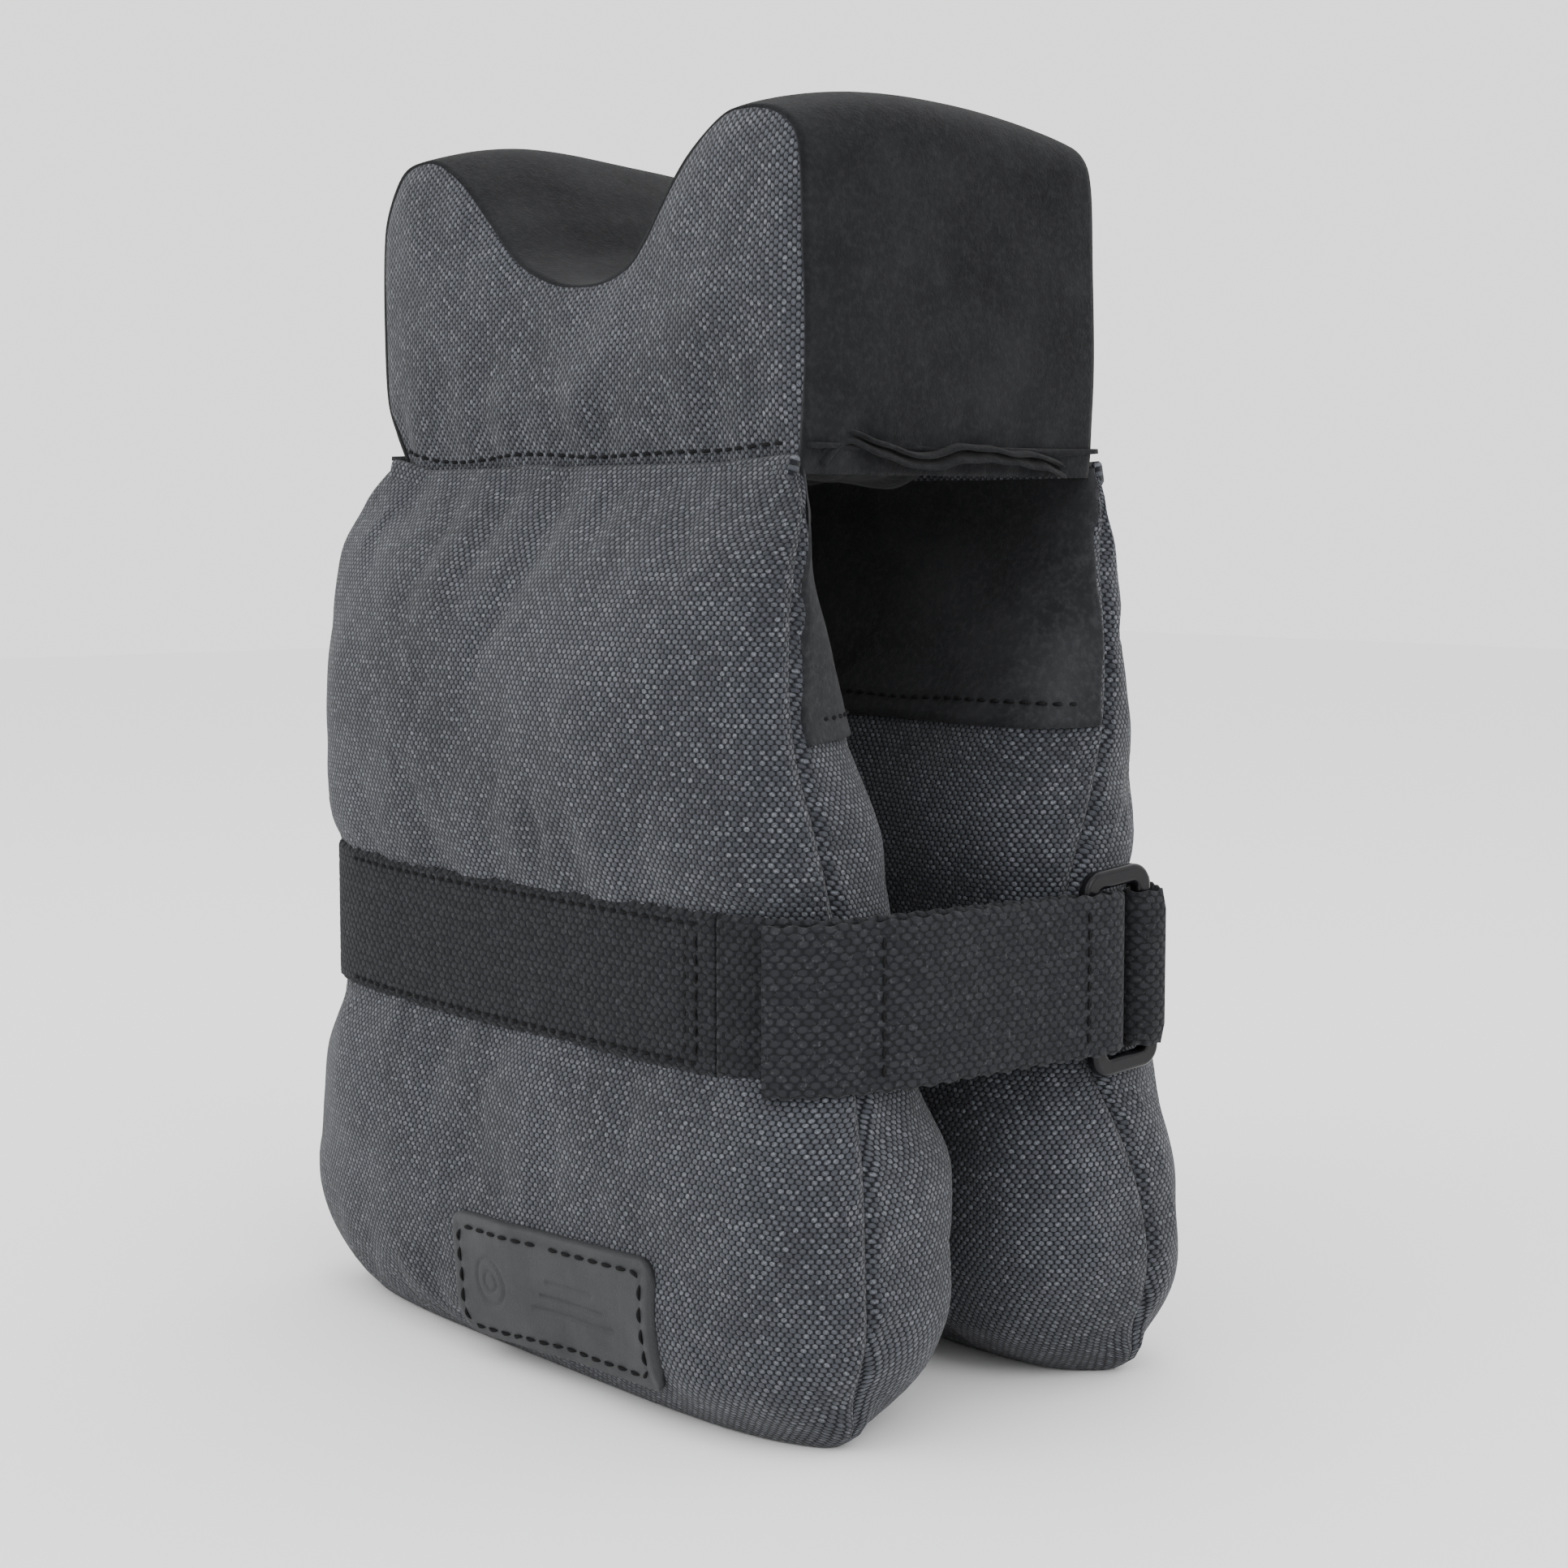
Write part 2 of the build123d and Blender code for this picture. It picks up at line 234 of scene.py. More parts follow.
# ---- materials
class Nodes:
    """Short helper for building one material's node tree."""

    def __init__(self, name, roughness, sheen=0.0, specular=0.5):
        self.material = bpy.data.materials.new(name)
        self.material.use_nodes = True
        self.tree = self.material.node_tree
        self.shader = self.tree.nodes["Principled BSDF"]
        self.shader.inputs["Roughness"].default_value = roughness
        self.shader.inputs["Specular IOR Level"].default_value = specular
        if sheen:
            self.shader.inputs["Sheen Weight"].default_value = sheen
            self.shader.inputs["Sheen Roughness"].default_value = 0.45

    def add(self, kind, **inputs):
        node = self.tree.nodes.new(kind)
        for key, value in inputs.items():
            if hasattr(node, key):
                setattr(node, key, value)
        return node

    def link(self, a, b):
        self.tree.links.new(a, b)

    def feed(self, value, socket):
        """Links an output or sets a number on an input."""
        if hasattr(value, "links"):
            self.link(value, socket)
        else:
            socket.default_value = value

    def math(self, operation, a, b=0.0, clamp=False):
        node = self.add("ShaderNodeMath", operation=operation, use_clamp=clamp)
        for value, socket in zip((a, b), node.inputs):
            self.feed(value, socket)
        return node.outputs[0]

    def times(self, a, b):
        return self.math("MULTIPLY", a, b)

    def plus(self, a, b):
        return self.math("ADD", a, b)

    def uv(self):
        coords = self.add("ShaderNodeUVMap", uv_map="cloth")
        split = self.add("ShaderNodeSeparateXYZ")
        self.link(coords.outputs[0], split.inputs[0])
        return split.outputs[0], split.outputs[1]

    def place(self):
        return self.add("ShaderNodeTexCoord").outputs["Object"]

    def noise(self, scale, detail=3.0, roughness=0.55):
        node = self.add("ShaderNodeTexNoise")
        node.inputs["Scale"].default_value = scale
        node.inputs["Detail"].default_value = detail
        node.inputs["Roughness"].default_value = roughness
        self.link(self.place(), node.inputs["Vector"])
        return node.outputs["Fac"]

    def spread(self, value, low, high, out_low=0.0, out_high=1.0):
        node = self.add("ShaderNodeMapRange")
        self.link(value, node.inputs["Value"])
        names = ("From Min", "From Max", "To Min", "To Max")
        for key, number in zip(names, (low, high, out_low, out_high)):
            node.inputs[key].default_value = number
        return node.outputs["Result"]

    def mix(self, factor, a, b):
        node = self.add("ShaderNodeMix", data_type="RGBA")
        self.feed(factor, node.inputs[0])
        for value, socket in ((a, node.inputs[6]), (b, node.inputs[7])):
            self.feed(value if hasattr(value, "links") else (*value, 1.0), socket)
        return node.outputs[2]

    def relief(self, height, distance, strength=1.0, base=None):
        node = self.add("ShaderNodeBump")
        node.inputs["Strength"].default_value = strength
        node.inputs["Distance"].default_value = distance
        self.link(height, node.inputs["Height"])
        if base is not None:
            self.link(base, node.inputs["Normal"])
        return node.outputs["Normal"]

    def done(self, colour, normal=None, roughness=None):
        self.feed(colour, self.shader.inputs["Base Color"])
        if normal is not None:
            self.link(normal, self.shader.inputs["Normal"])
        if roughness is not None:
            self.link(roughness, self.shader.inputs["Roughness"])
        return self.material


def scaled(shade, *colours):
    """The same colours, darker or lighter by one factor."""
    return [tuple(c * shade for c in colour) for colour in colours]


def weave_cells(n, long_pitch, short_pitch, half_width, swap=False):
    """Rows of staggered yarn bumps: their height, from 0 in the gaps to 1 on the crests, and a
    random number for each bump."""
    along, across = n.uv()
    if swap:
        along, across = across, along
    wander = n.noise(260.0, 2.0)
    along = n.plus(along, n.times(wander, long_pitch * 0.45))
    across = n.plus(across, n.times(n.noise(310.0, 1.0), short_pitch * 0.5))
    row = n.math("DIVIDE", across, short_pitch)
    row_number = n.math("FLOOR", row)
    shift = n.times(n.math("MODULO", n.math("ABSOLUTE", row_number), 2.0), 0.5)
    column = n.plus(n.math("DIVIDE", along, long_pitch), shift)
    x = n.math("SUBTRACT", n.math("FRACT", column), 0.5)
    y = n.math("SUBTRACT", n.math("FRACT", row), 0.5)
    reach_x = n.math("ABSOLUTE", n.times(x, 1.0 / half_width))
    reach_y = n.math("ABSOLUTE", n.times(y, 1.75))
    reach = n.plus(n.math("POWER", reach_x, 2.2), n.math("POWER", reach_y, 2.2))
    height = n.math("SQRT", n.math("SUBTRACT", 1.0, reach, clamp=True))
    cell = n.add("ShaderNodeCombineXYZ")
    n.link(n.math("FLOOR", column), cell.inputs[0])
    n.link(row_number, cell.inputs[1])
    random = n.add("ShaderNodeTexWhiteNoise", noise_dimensions="3D")
    n.link(cell.outputs[0], random.inputs["Vector"])
    return height, random.outputs["Value"]


def canvas_material(name, turned=False, shade=1.0):
    """Washed cotton canvas: yarn bumps with pale worn crests, painted shade in the gaps between them and
    mottled fading.
    """
    n = Nodes(name, 0.92, sheen=0.12, specular=0.15)
    height, random = weave_cells(n, 1.62 * MM, 0.98 * MM, swap=turned, half_width=0.40)
    fibre = n.noise(2600.0, 2.0)
    worn = n.math("POWER", random, 2.5)
    crest = n.times(n.spread(height, 0.3, 0.95), n.spread(worn, 0.0, 1.0, 0.2, 1.5))
    crest = n.times(crest, n.spread(fibre, 0.35, 0.7, 0.15, 1.4))
    fade = n.spread(n.noise(22.0, 4.0, 0.6), 0.38, 0.62, 0.0, 1.0)
    fine = n.spread(n.noise(75.0, 3.0, 0.6), 0.3, 0.7, 0.0, 1.0)
    wear = n.plus(n.times(fade, 0.6), n.times(fine, 0.4))
    dark, low, high, pale = scaled(
        shade, (0.020, 0.022, 0.028), (0.044, 0.048, 0.059), (0.136, 0.146, 0.174), (0.42, 0.445, 0.50)
    )
    ground = n.mix(wear, low, high)
    # Painted shade: the colour goes to dark in the gaps between the yarn bumps, where shade falls.
    colour = n.mix(n.spread(height, 0.05, 0.55), dark, ground)
    colour = n.mix(n.times(crest, 0.55), colour, pale)
    normal = n.relief(n.plus(height, n.times(fibre, 0.25)), 0.55 * MM, 0.9)
    return n.done(colour, normal)


def webbing_material(name, shade=1.0, sharp=1.0):
    """Cotton webbing: coarse staggered bumps with painted shade between them, and a fuzz of loose fibres."""
    n = Nodes(name, 0.97, sheen=0.05, specular=0.05)
    height, random = weave_cells(n, *WEB_PITCH, half_width=0.42)
    fuzz = n.noise(2200.0, 3.0, 0.7)
    lint = n.spread(n.noise(900.0, 4.0, 0.75), 0.56, 0.74)
    dark, low, high, pale = scaled(
        shade, (0.018, 0.0187, 0.021), (0.029, 0.030, 0.034), (0.041, 0.043, 0.048), (0.20, 0.205, 0.22)
    )
    # Painted shade: the colour goes to dark in the gaps between the yarn bumps, where shade falls.
    colour = n.mix(n.spread(height, 0.1, 0.9), dark, n.mix(random, low, high))
    colour = n.mix(n.times(lint, 0.35), colour, pale)
    total = n.plus(n.times(height, sharp), n.times(fuzz, 0.35))
    return n.done(colour, n.relief(total, 0.45 * MM, 0.85))


def suede_material(name, shade=1.0):
    """Split suede: short black nap with brushed patches."""
    n = Nodes(name, 1.0, sheen=0.06, specular=0.05)
    nap = n.noise(1500.0, 4.0, 0.7)
    brushed = n.spread(n.noise(42.0, 4.0, 0.6), 0.3, 0.72)
    speck = n.spread(n.noise(700.0, 3.0, 0.6), 0.45, 0.75)
    dark, light, pale = scaled(
        shade, (0.010, 0.0104, 0.0115), (0.024, 0.0246, 0.0265), (0.050, 0.051, 0.054)
    )
    colour = n.mix(brushed, dark, light)
    colour = n.mix(n.times(speck, 0.3), colour, pale)
    normal = n.relief(nap, 0.35 * MM, 0.8)
    return n.done(colour, n.relief(n.noise(230.0, 3.0), 0.5 * MM, 0.35, base=normal))


def leather_material():
    """Smooth slate leather with a fine grain and faint scuffs."""
    n = Nodes("slate_leather", 0.5, specular=0.4)
    cells = n.add("ShaderNodeTexVoronoi", feature="DISTANCE_TO_EDGE")
    cells.inputs["Scale"].default_value = 1500.0
    n.link(n.place(), cells.inputs["Vector"])
    grain = n.spread(cells.outputs["Distance"], 0.0, 0.12)
    scuff = n.spread(n.noise(55.0, 4.0, 0.6), 0.3, 0.7)
    colour = n.mix(scuff, (0.0150, 0.0162, 0.0175), (0.0215, 0.0230, 0.0248))
    rough = n.spread(n.noise(120.0, 4.0), 0.3, 0.7, 0.52, 0.68)
    return n.done(colour, n.relief(grain, 0.10 * MM, 0.5), rough)


def thread_material():
    """Almost black thread with a twist."""
    n = Nodes("black_thread", 0.8, specular=0.12)
    twist = n.add("ShaderNodeTexWave")
    twist.inputs["Scale"].default_value = 900.0
    twist.inputs["Distortion"].default_value = 1.5
    n.link(n.place(), twist.inputs["Vector"])
    colour = n.mix(twist.outputs["Fac"], (0.003, 0.003, 0.0035), (0.009, 0.009, 0.010))
    return n.done(colour, n.relief(twist.outputs["Fac"], 0.1 * MM, 0.5))


def cell_material(name, scale, middle, edge, depth, roughness, sheen=0.0, specular=0.2):
    """Small round cells, for the loops of tape and the grains of sand."""
    n = Nodes(name, roughness, sheen=sheen, specular=specular)
    cells = n.add("ShaderNodeTexVoronoi")
    cells.inputs["Scale"].default_value = scale
    n.link(n.place(), cells.inputs["Vector"])
    colour = n.mix(cells.outputs["Distance"], middle, edge)
    return n.done(colour, n.relief(cells.outputs["Distance"], depth, 0.8))


def ring_material():
    """Black gloss enamel over cast metal, a little worn to grey along its edges."""
    n = Nodes("black_enamel", 0.30, specular=0.14)
    n.shader.inputs["Coat Weight"].default_value = 0.08
    n.shader.inputs["Coat Roughness"].default_value = 0.12
    geometry = n.add("ShaderNodeNewGeometry")
    edge = n.spread(geometry.outputs["Pointiness"], 0.50, 0.58)
    worn = n.times(edge, n.spread(n.noise(420.0, 4.0), 0.42, 0.62))
    colour = n.mix(n.times(worn, 0.25), (0.006, 0.006, 0.007), (0.05, 0.05, 0.053))
    rough = n.spread(n.noise(260.0, 4.0), 0.3, 0.7, 0.17, 0.27)
    return n.done(colour, n.relief(n.noise(320.0, 3.0), 0.12 * MM, 0.35), rough)


CANVAS = canvas_material("leg_canvas", shade=0.365)
CANVAS_TURNED = canvas_material("cushion_canvas", turned=True, shade=0.375)
SUEDE = suede_material("black_suede", shade=0.64)
# Painted light: the same black suede as the band, made nearly twice as light to make up for the shade inside
# the tunnel.
LINING_SUEDE_PAINTED_LIGHT = suede_material("lining_suede_painted_light", shade=1.15)
WEB = webbing_material("webbing", shade=0.53)
# Painted light: the same webbing as the strap, made lighter to make up for the shade on the tail.
TAIL_WEB_PAINTED_LIGHT = webbing_material("tail_webbing_painted_light", shade=0.60, sharp=0.6)
LEATHER = leather_material()
THREAD = thread_material()
TAPE = cell_material(
    "hook_and_loop", 1100.0, (0.030, 0.030, 0.032), (0.008, 0.008, 0.009), 0.4 * MM, 0.9, 0.25, 0.15
)
ENAMEL = ring_material()
SAND = cell_material("dry_sand", 2200.0, (0.42, 0.33, 0.22), (0.62, 0.53, 0.40), 0.3 * MM, 0.95)


# ---- bands, thread and routes
def line_length(points):
    """The distance along a line at each of its points."""
    return np.append(0, np.cumsum(np.linalg.norm(np.diff(points, axis=0), axis=1)))


def at_lengths(line, want, values=None):
    """The points of a line, or values that go with its points, at distances along it."""
    values = line if values is None else values
    length = line_length(line)
    return np.stack([np.interp(want, length, column) for column in values.T], 1)


def evenly(line, count):
    """The same line as a number of evenly spaced points."""
    return at_lengths(line, np.linspace(0, line_length(line)[-1], count))


def resample(points, step):
    """The same line with points at an even spacing."""
    points = np.asarray(points, float)
    keep = np.append(True, np.linalg.norm(np.diff(points, axis=0), axis=1) > 1e-7)
    points = points[keep]
    return evenly(points, max(3, int(line_length(points)[-1] / step) + 1))


def relax(points, times):
    """Evens out a line or grid of points along its first index, with its ends held."""
    for _ in range(times):
        points[1:-1] = (points[:-2] + 2 * points[1:-1] + points[2:]) / 4
    return points


def unit_rows(vectors):
    return vectors / np.linalg.norm(vectors, axis=1)[:, None]


def flat_normals(line):
    """Unit normals of a flat line, on the right of its travel."""
    tangent = np.gradient(line, axis=0)
    return unit_rows(np.stack([tangent[:, 1], -tangent[:, 0]], 1))


def rounded_route(corners, radius, step):
    """Points along straight runs joined by arcs of one radius."""
    corners = [np.array(c, float) for c in corners]
    route = [corners[0]]
    for before, corner, after in zip(corners, corners[1:], corners[2:]):
        a, b = before - corner, after - corner
        a, b = a / np.linalg.norm(a), b / np.linalg.norm(b)
        half = math.acos(np.clip(a @ b, -1, 1)) / 2
        middle = corner + (a + b) / np.linalg.norm(a + b) * radius / math.sin(half)
        u, v = (corner + way * radius / math.tan(half) - middle for way in (a, b))
        turn = math.pi - 2 * half
        for t in np.linspace(0, 1, max(4, int(turn * radius / step))):
            route.append(middle + (u * math.sin((1 - t) * turn) + v * math.sin(t * turn)) / math.sin(turn))
    route.append(corners[-1])
    return resample(np.array(route), step)


def yarn_height(u, v):
    """The webbing's staggered bumps, from 0 to 1."""
    long_pitch, short_pitch = WEB_PITCH
    row = np.floor(v / short_pitch)
    x = (u / long_pitch + 0.5 * (np.abs(row) % 2)) % 1 - 0.5
    y = (v / short_pitch) % 1 - 0.5
    return np.sqrt(np.clip(1 - np.abs(x / 0.36) ** 2.2 - np.abs(y * 1.8) ** 2.2, 0, 1))


def ribbon(name, path, across, width, thickness, out, relief=0.0, wobble=0.0):
    """A flat band along a path. across is its width direction and out its outer side;
    thickness may be one number or one for each point. relief is the height of its yarn
    bumps, and wobble is how far its edges wave."""
    path = np.asarray(path, float)
    n = len(path)
    across = unit_rows(np.broadcast_to(np.asarray(across, float), (n, 3)))
    normal = np.cross(np.gradient(path, axis=0), across)
    normal /= np.linalg.norm(normal, axis=1)[:, None] + 1e-12
    if np.sum(normal * np.asarray(out, float)) < 0:
        normal = -normal
    thickness = np.broadcast_to(thickness, (n,))
    u = line_length(path)
    lanes = max(6, int(width / (0.8 * MM))) if relief else 8
    v = (np.arange(lanes + 1) / lanes - 0.5) * width
    profile = [(x, 1.0) for x in v] + [(x, -1.0) for x in v[::-1]]
    points, uv = [], []
    for x, side in profile:
        edge = np.clip((width / 2 - abs(x)) / (thickness / 2), 0, 1)
        half = thickness / 2 * np.sqrt(np.clip(1 - (1 - edge) ** 2, 0, 1))
        half = np.maximum(half, thickness * 0.12)
        lift = relief * yarn_height(u, np.full(n, x + width)) * edge
        edge_wave = wobble * np.sin(math.tau * u / (4.9 * MM) + x * 900) * (abs(x) > width * 0.47)
        points.append(path + across * (x + edge_wave)[:, None] + normal * (side * (half + lift))[:, None])
        uv.append(np.stack([u, np.full(n, x + width)], 1))
    m = len(profile)
    points = np.stack(points, 1).reshape(-1, 3)
    uv = np.stack(uv, 1).reshape(-1, 2)
    obj = make_mesh(name, points, tube_faces(n, m), uv)
    recalculate(obj)
    return obj


def stitches(name, path, normals, pitch, length=None, radius=0.42 * MM):
    """A row of thread stitches lying on a surface along a path."""
    path, normals = np.asarray(path, float), np.asarray(normals, float)
    total = line_length(path)[-1]
    length = length or pitch * 0.68
    rings, sides, lift = 6, 7, 0.22 * MM
    points, faces = [], []
    for start in np.arange(pitch * 0.2, total - length, pitch):
        t = start + np.linspace(0, 1, rings) * length
        centre = at_lengths(path, t)
        up = unit_rows(at_lengths(path, t, normals))
        ahead = unit_rows(np.gradient(centre, axis=0))
        side = np.cross(ahead, up)
        arch = np.sin(np.linspace(0, math.pi, rings))
        centre = centre + up * ((arch * 2 - 0.9) * lift)[:, None]
        fat = radius * (0.45 + 0.55 * arch**0.5)
        first = len(points)
        for k in range(rings):
            for s in range(sides):
                a = math.tau * s / sides
                points.append(centre[k] + fat[k] * (math.cos(a) * side[k] + math.sin(a) * up[k]))
        faces += tube_faces(rings, sides, first)
    return make_mesh(name, points, faces)


# ---- legs
# Height, right end, left end, outer face, inner face and seam of a leg, as shares of the CAD leg's box
LEG_SHAPE = [
    (0.000, 0.862, 0.870, 0.84, 0.44, 0.650),
    (0.038, 0.922, 0.935, 0.955, 0.25, 0.655),
    (0.108, 0.990, 1.028, 1.010, 0.13, 0.665),
    (0.205, 1.000, 1.034, 1.020, 0.08, 0.680),
    (0.305, 0.980, 1.004, 0.995, 0.105, 0.680),
    (0.391, 0.938, 0.950, 0.940, 0.170, 0.670),
    (0.477, 0.905, 0.948, 0.917, 0.210, 0.665),
    (0.563, 0.872, 0.950, 0.942, 0.215, 0.670),
    (0.645, 0.850, 0.932, 1.000, 0.255, 0.700),
    (0.728, 0.822, 0.922, 1.015, 0.325, 0.735),
    (0.836, 0.803, 0.924, 0.985, 0.460, 0.730),
    (0.927, 0.800, 0.942, 0.890, 0.585, 0.700),
    (0.987, 0.812, 0.905, 0.765, 0.640, 0.684),
    (1.036, 0.785, 0.790, 0.700, 0.655, 0.680),
]
HALF_LENGTH, HALF_DEPTH = LEG_HIGH.x, -LEG_LOW.y
OUTER_BLUNT, INNER_BLUNT = 4.4, 11.0
# Points across one panel, and how much closer together they are at its seams
COLUMNS, SEAM_CROWDING = 120, 0.8
# How far each leg's seam swings inwards at the strap, as a share of its distance from the middle
SEAM_SWING = {-1: 0.06, 1: 0.46}


def leg_section(z, side, outer, count):
    """One panel of a leg at height z: its points from the left seam to the right one, their
    distance from the nearer seam, and their distance along the cloth from its middle."""
    shares = curve_through(LEG_SHAPE, np.array([z / LEG_TOP]))
    sizes = (HALF_LENGTH, HALF_LENGTH, HALF_DEPTH, HALF_DEPTH, HALF_DEPTH)
    right, left, face, back, seam = (float(share[0]) * size for share, size in zip(shares, sizes))
    blunt, deep = (OUTER_BLUNT, face) if outer else (INNER_BLUNT, back)
    corner = seam + (deep - seam) * math.sqrt(1 - 0.9**blunt)
    seam *= 1 - SEAM_SWING[side] * float(bump(z, STRAP_Z - 4 * MM, 38 * MM))
    # The seam swings inwards at the strap, and the corner of the filled leg stays where it was
    blunt = max(math.log(1 - ((corner - seam) / (deep - seam)) ** 2) / math.log(0.9), 2.5)
    theta = np.linspace(-math.pi / 2, math.pi / 2, 400)
    share = np.sign(np.sin(theta)) * np.abs(np.sin(theta)) ** 0.45
    x = np.where(share > 0, share * right, share * left)
    y = seam + (deep - seam) * np.sqrt(np.clip(1 - np.abs(share) ** blunt, 0, 1))
    line = np.stack([x, side * y], 1)
    length = line_length(line)[-1]
    even = np.linspace(0, 1, count)
    want = length * (even - SEAM_CROWDING * np.sin(math.tau * even) / math.tau)
    return at_lengths(line, want), np.minimum(want, length - want), want - length / 2


def cloth_folds(x, z, from_seam, outer, seed):
    """How far one row of a leg's canvas, at height z, stands out of the leg's smooth shape."""
    free = smooth(z, 0.0, 14 * MM) * (1 - smooth(z, NECK_Z - 12 * MM, NECK_Z))
    strap = bump(z, STRAP_Z, 20 * MM) * (1 if outer else 0.35)
    slack = free * smooth(from_seam, 1 * MM, 16 * MM)
    lift = slack * (1 - strap) * 0.95 * MM * ripple(x, z * 1.3, 62 * MM, seed)
    lift += slack * (1 - 0.5 * strap) * 0.30 * MM * ripple(x, z, 21 * MM, seed + 1)
    gather = bump(z, NECK_Z - 9 * MM, 13 * MM) * smooth(from_seam, 0, 8 * MM)
    lift += gather * 0.75 * MM * ripple(x, z * 0.25, 24 * MM, seed + 2)
    for edge in (-1, 1) if outer else ():
        near = bump(z, STRAP_Z + edge * (WEBBING_WIDTH / 2 + 7 * MM), 7 * MM)
        lift += near * (0.5 * MM + 0.55 * MM * ripple(x, z * 0.3, 33 * MM, seed + 3 + edge))
    pucker = np.exp(-from_seam / (7 * MM)) * 0.40 * MM * math.sin(z / (2.1 * MM))
    return (lift + pucker * smooth(z, 0, 10 * MM)) * smooth(from_seam, 0, 2.5 * MM)


def leg_sheet(name, side, outer):
    """An open sheet of canvas: the outer or inner face of one leg, from the neck to the bottom fold."""
    columns, rows, foot_rows = COLUMNS, 92, 6
    lowest, crowded = 0.6 * MM, 8 * MM
    heights = np.linspace(NECK_Z + 1.5 * MM, lowest, rows)
    closer = lowest + np.abs(heights - lowest) ** 1.25 / (crowded - lowest) ** 0.25
    heights = np.where(heights < crowded, closer, heights)
    facing = side if outer else -side
    seed = (3 if outer else 5) + (10 if side > 0 else 0)
    sheet, across = [], []
    for z in heights:
        line, from_seam, u = leg_section(z, side, outer, columns)
        end = np.sign(line[:, 0])
        normal = flat_normals(line)
        normal *= np.sign(normal[columns // 2, 1] * facing)
        line = line + normal * cloth_folds(line[:, 0], z, from_seam, outer, seed)[:, None]
        groove = 1.9 * MM * bump(from_seam, 0, 1.5 * MM) * smooth(z, 0, 10 * MM)
        ear = 3.2 * MM * bump(from_seam, 0, 4.5 * MM) * bump(z, 5 * MM, 4.5 * MM)
        line[:, 0] += end * (ear - groove)
        sheet.append(np.column_stack([line, np.maximum(z - ear * 0.35, 0.3 * MM)]))
        across.append(u)
    base = sheet[-1]
    fold_y = side * curve_through(LEG_SHAPE, np.array([0.0]))[4][0] * HALF_DEPTH
    for share in np.arange(1, foot_rows + 1) / foot_rows:
        row = base * (1 - share)
        row += np.array([0, fold_y, 0.2 * MM]) * share
        row[:, 0] = base[:, 0]
        sheet.append(row)
        across.append(across[-1])
    sheet, across = np.stack(sheet), np.stack(across)
    fallen = line_length(sheet[:, columns // 2])[:, None]
    uv = np.stack([across, 0 * across - fallen], -1).reshape(-1, 2)
    obj = make_mesh(name, sheet.reshape(-1, 3), grid_faces(len(sheet), columns), uv)
    centre = Vector(sheet[len(sheet) // 2, columns // 2])
    nearest = min(obj.data.polygons, key=lambda face: (centre - face.center).length)
    turn_to(obj, nearest, (0, facing, 0))
    return obj


# Above this height the sand of a leg is pressed flat under the neck
FILL_TOP = NECK_Z - 12 * MM


def closed_filling(name, sheets, inset):
    """A closed mesh just inside a set of sheets that meet along their edges."""
    bm = bmesh.new()
    for sheet in sheets:
        bm.from_mesh(sheet.data)
    bmesh.ops.remove_doubles(bm, verts=bm.verts, dist=0.9 * MM)
    bmesh.ops.holes_fill(bm, edges=bm.edges, sides=0)
    bmesh.ops.triangulate(bm, faces=[f for f in bm.faces if len(f.verts) > 4])
    bmesh.ops.recalc_face_normals(bm, faces=bm.faces)
    if bm.calc_volume(signed=True) < 0:
        bmesh.ops.reverse_faces(bm, faces=bm.faces)
    bm.normal_update()
    moves = [(v, v.co - v.normal * inset) for v in bm.verts]
    for v, place in moves:
        v.co = place
        if place.z > FILL_TOP:
            v.co.z = FILL_TOP + (place.z - FILL_TOP) * 0.2
    mesh = bpy.data.meshes.new(name)
    bm.to_mesh(mesh)
    bm.free()
    return add_object(name, mesh)


def tree_of(obj):
    return BVHTree.FromPolygons(
        [v.co for v in obj.data.vertices], [tuple(p.vertices) for p in obj.data.polygons]
    )


CLOTH_REACH = 1.5 * MM
CLOTH_SETTINGS = {
    "quality": 6,
    "mass": 0.25,
    "tension_stiffness": 18,
    "compression_stiffness": 18,
    "shear_stiffness": 8,
    "bending_stiffness": 0.35,
    "vertex_group_mass": "held",
    "use_pressure": True,
    "uniform_pressure_force": 3.5,
    "shrink_min": -0.010,
}
CLOTH_FRAMES = 20


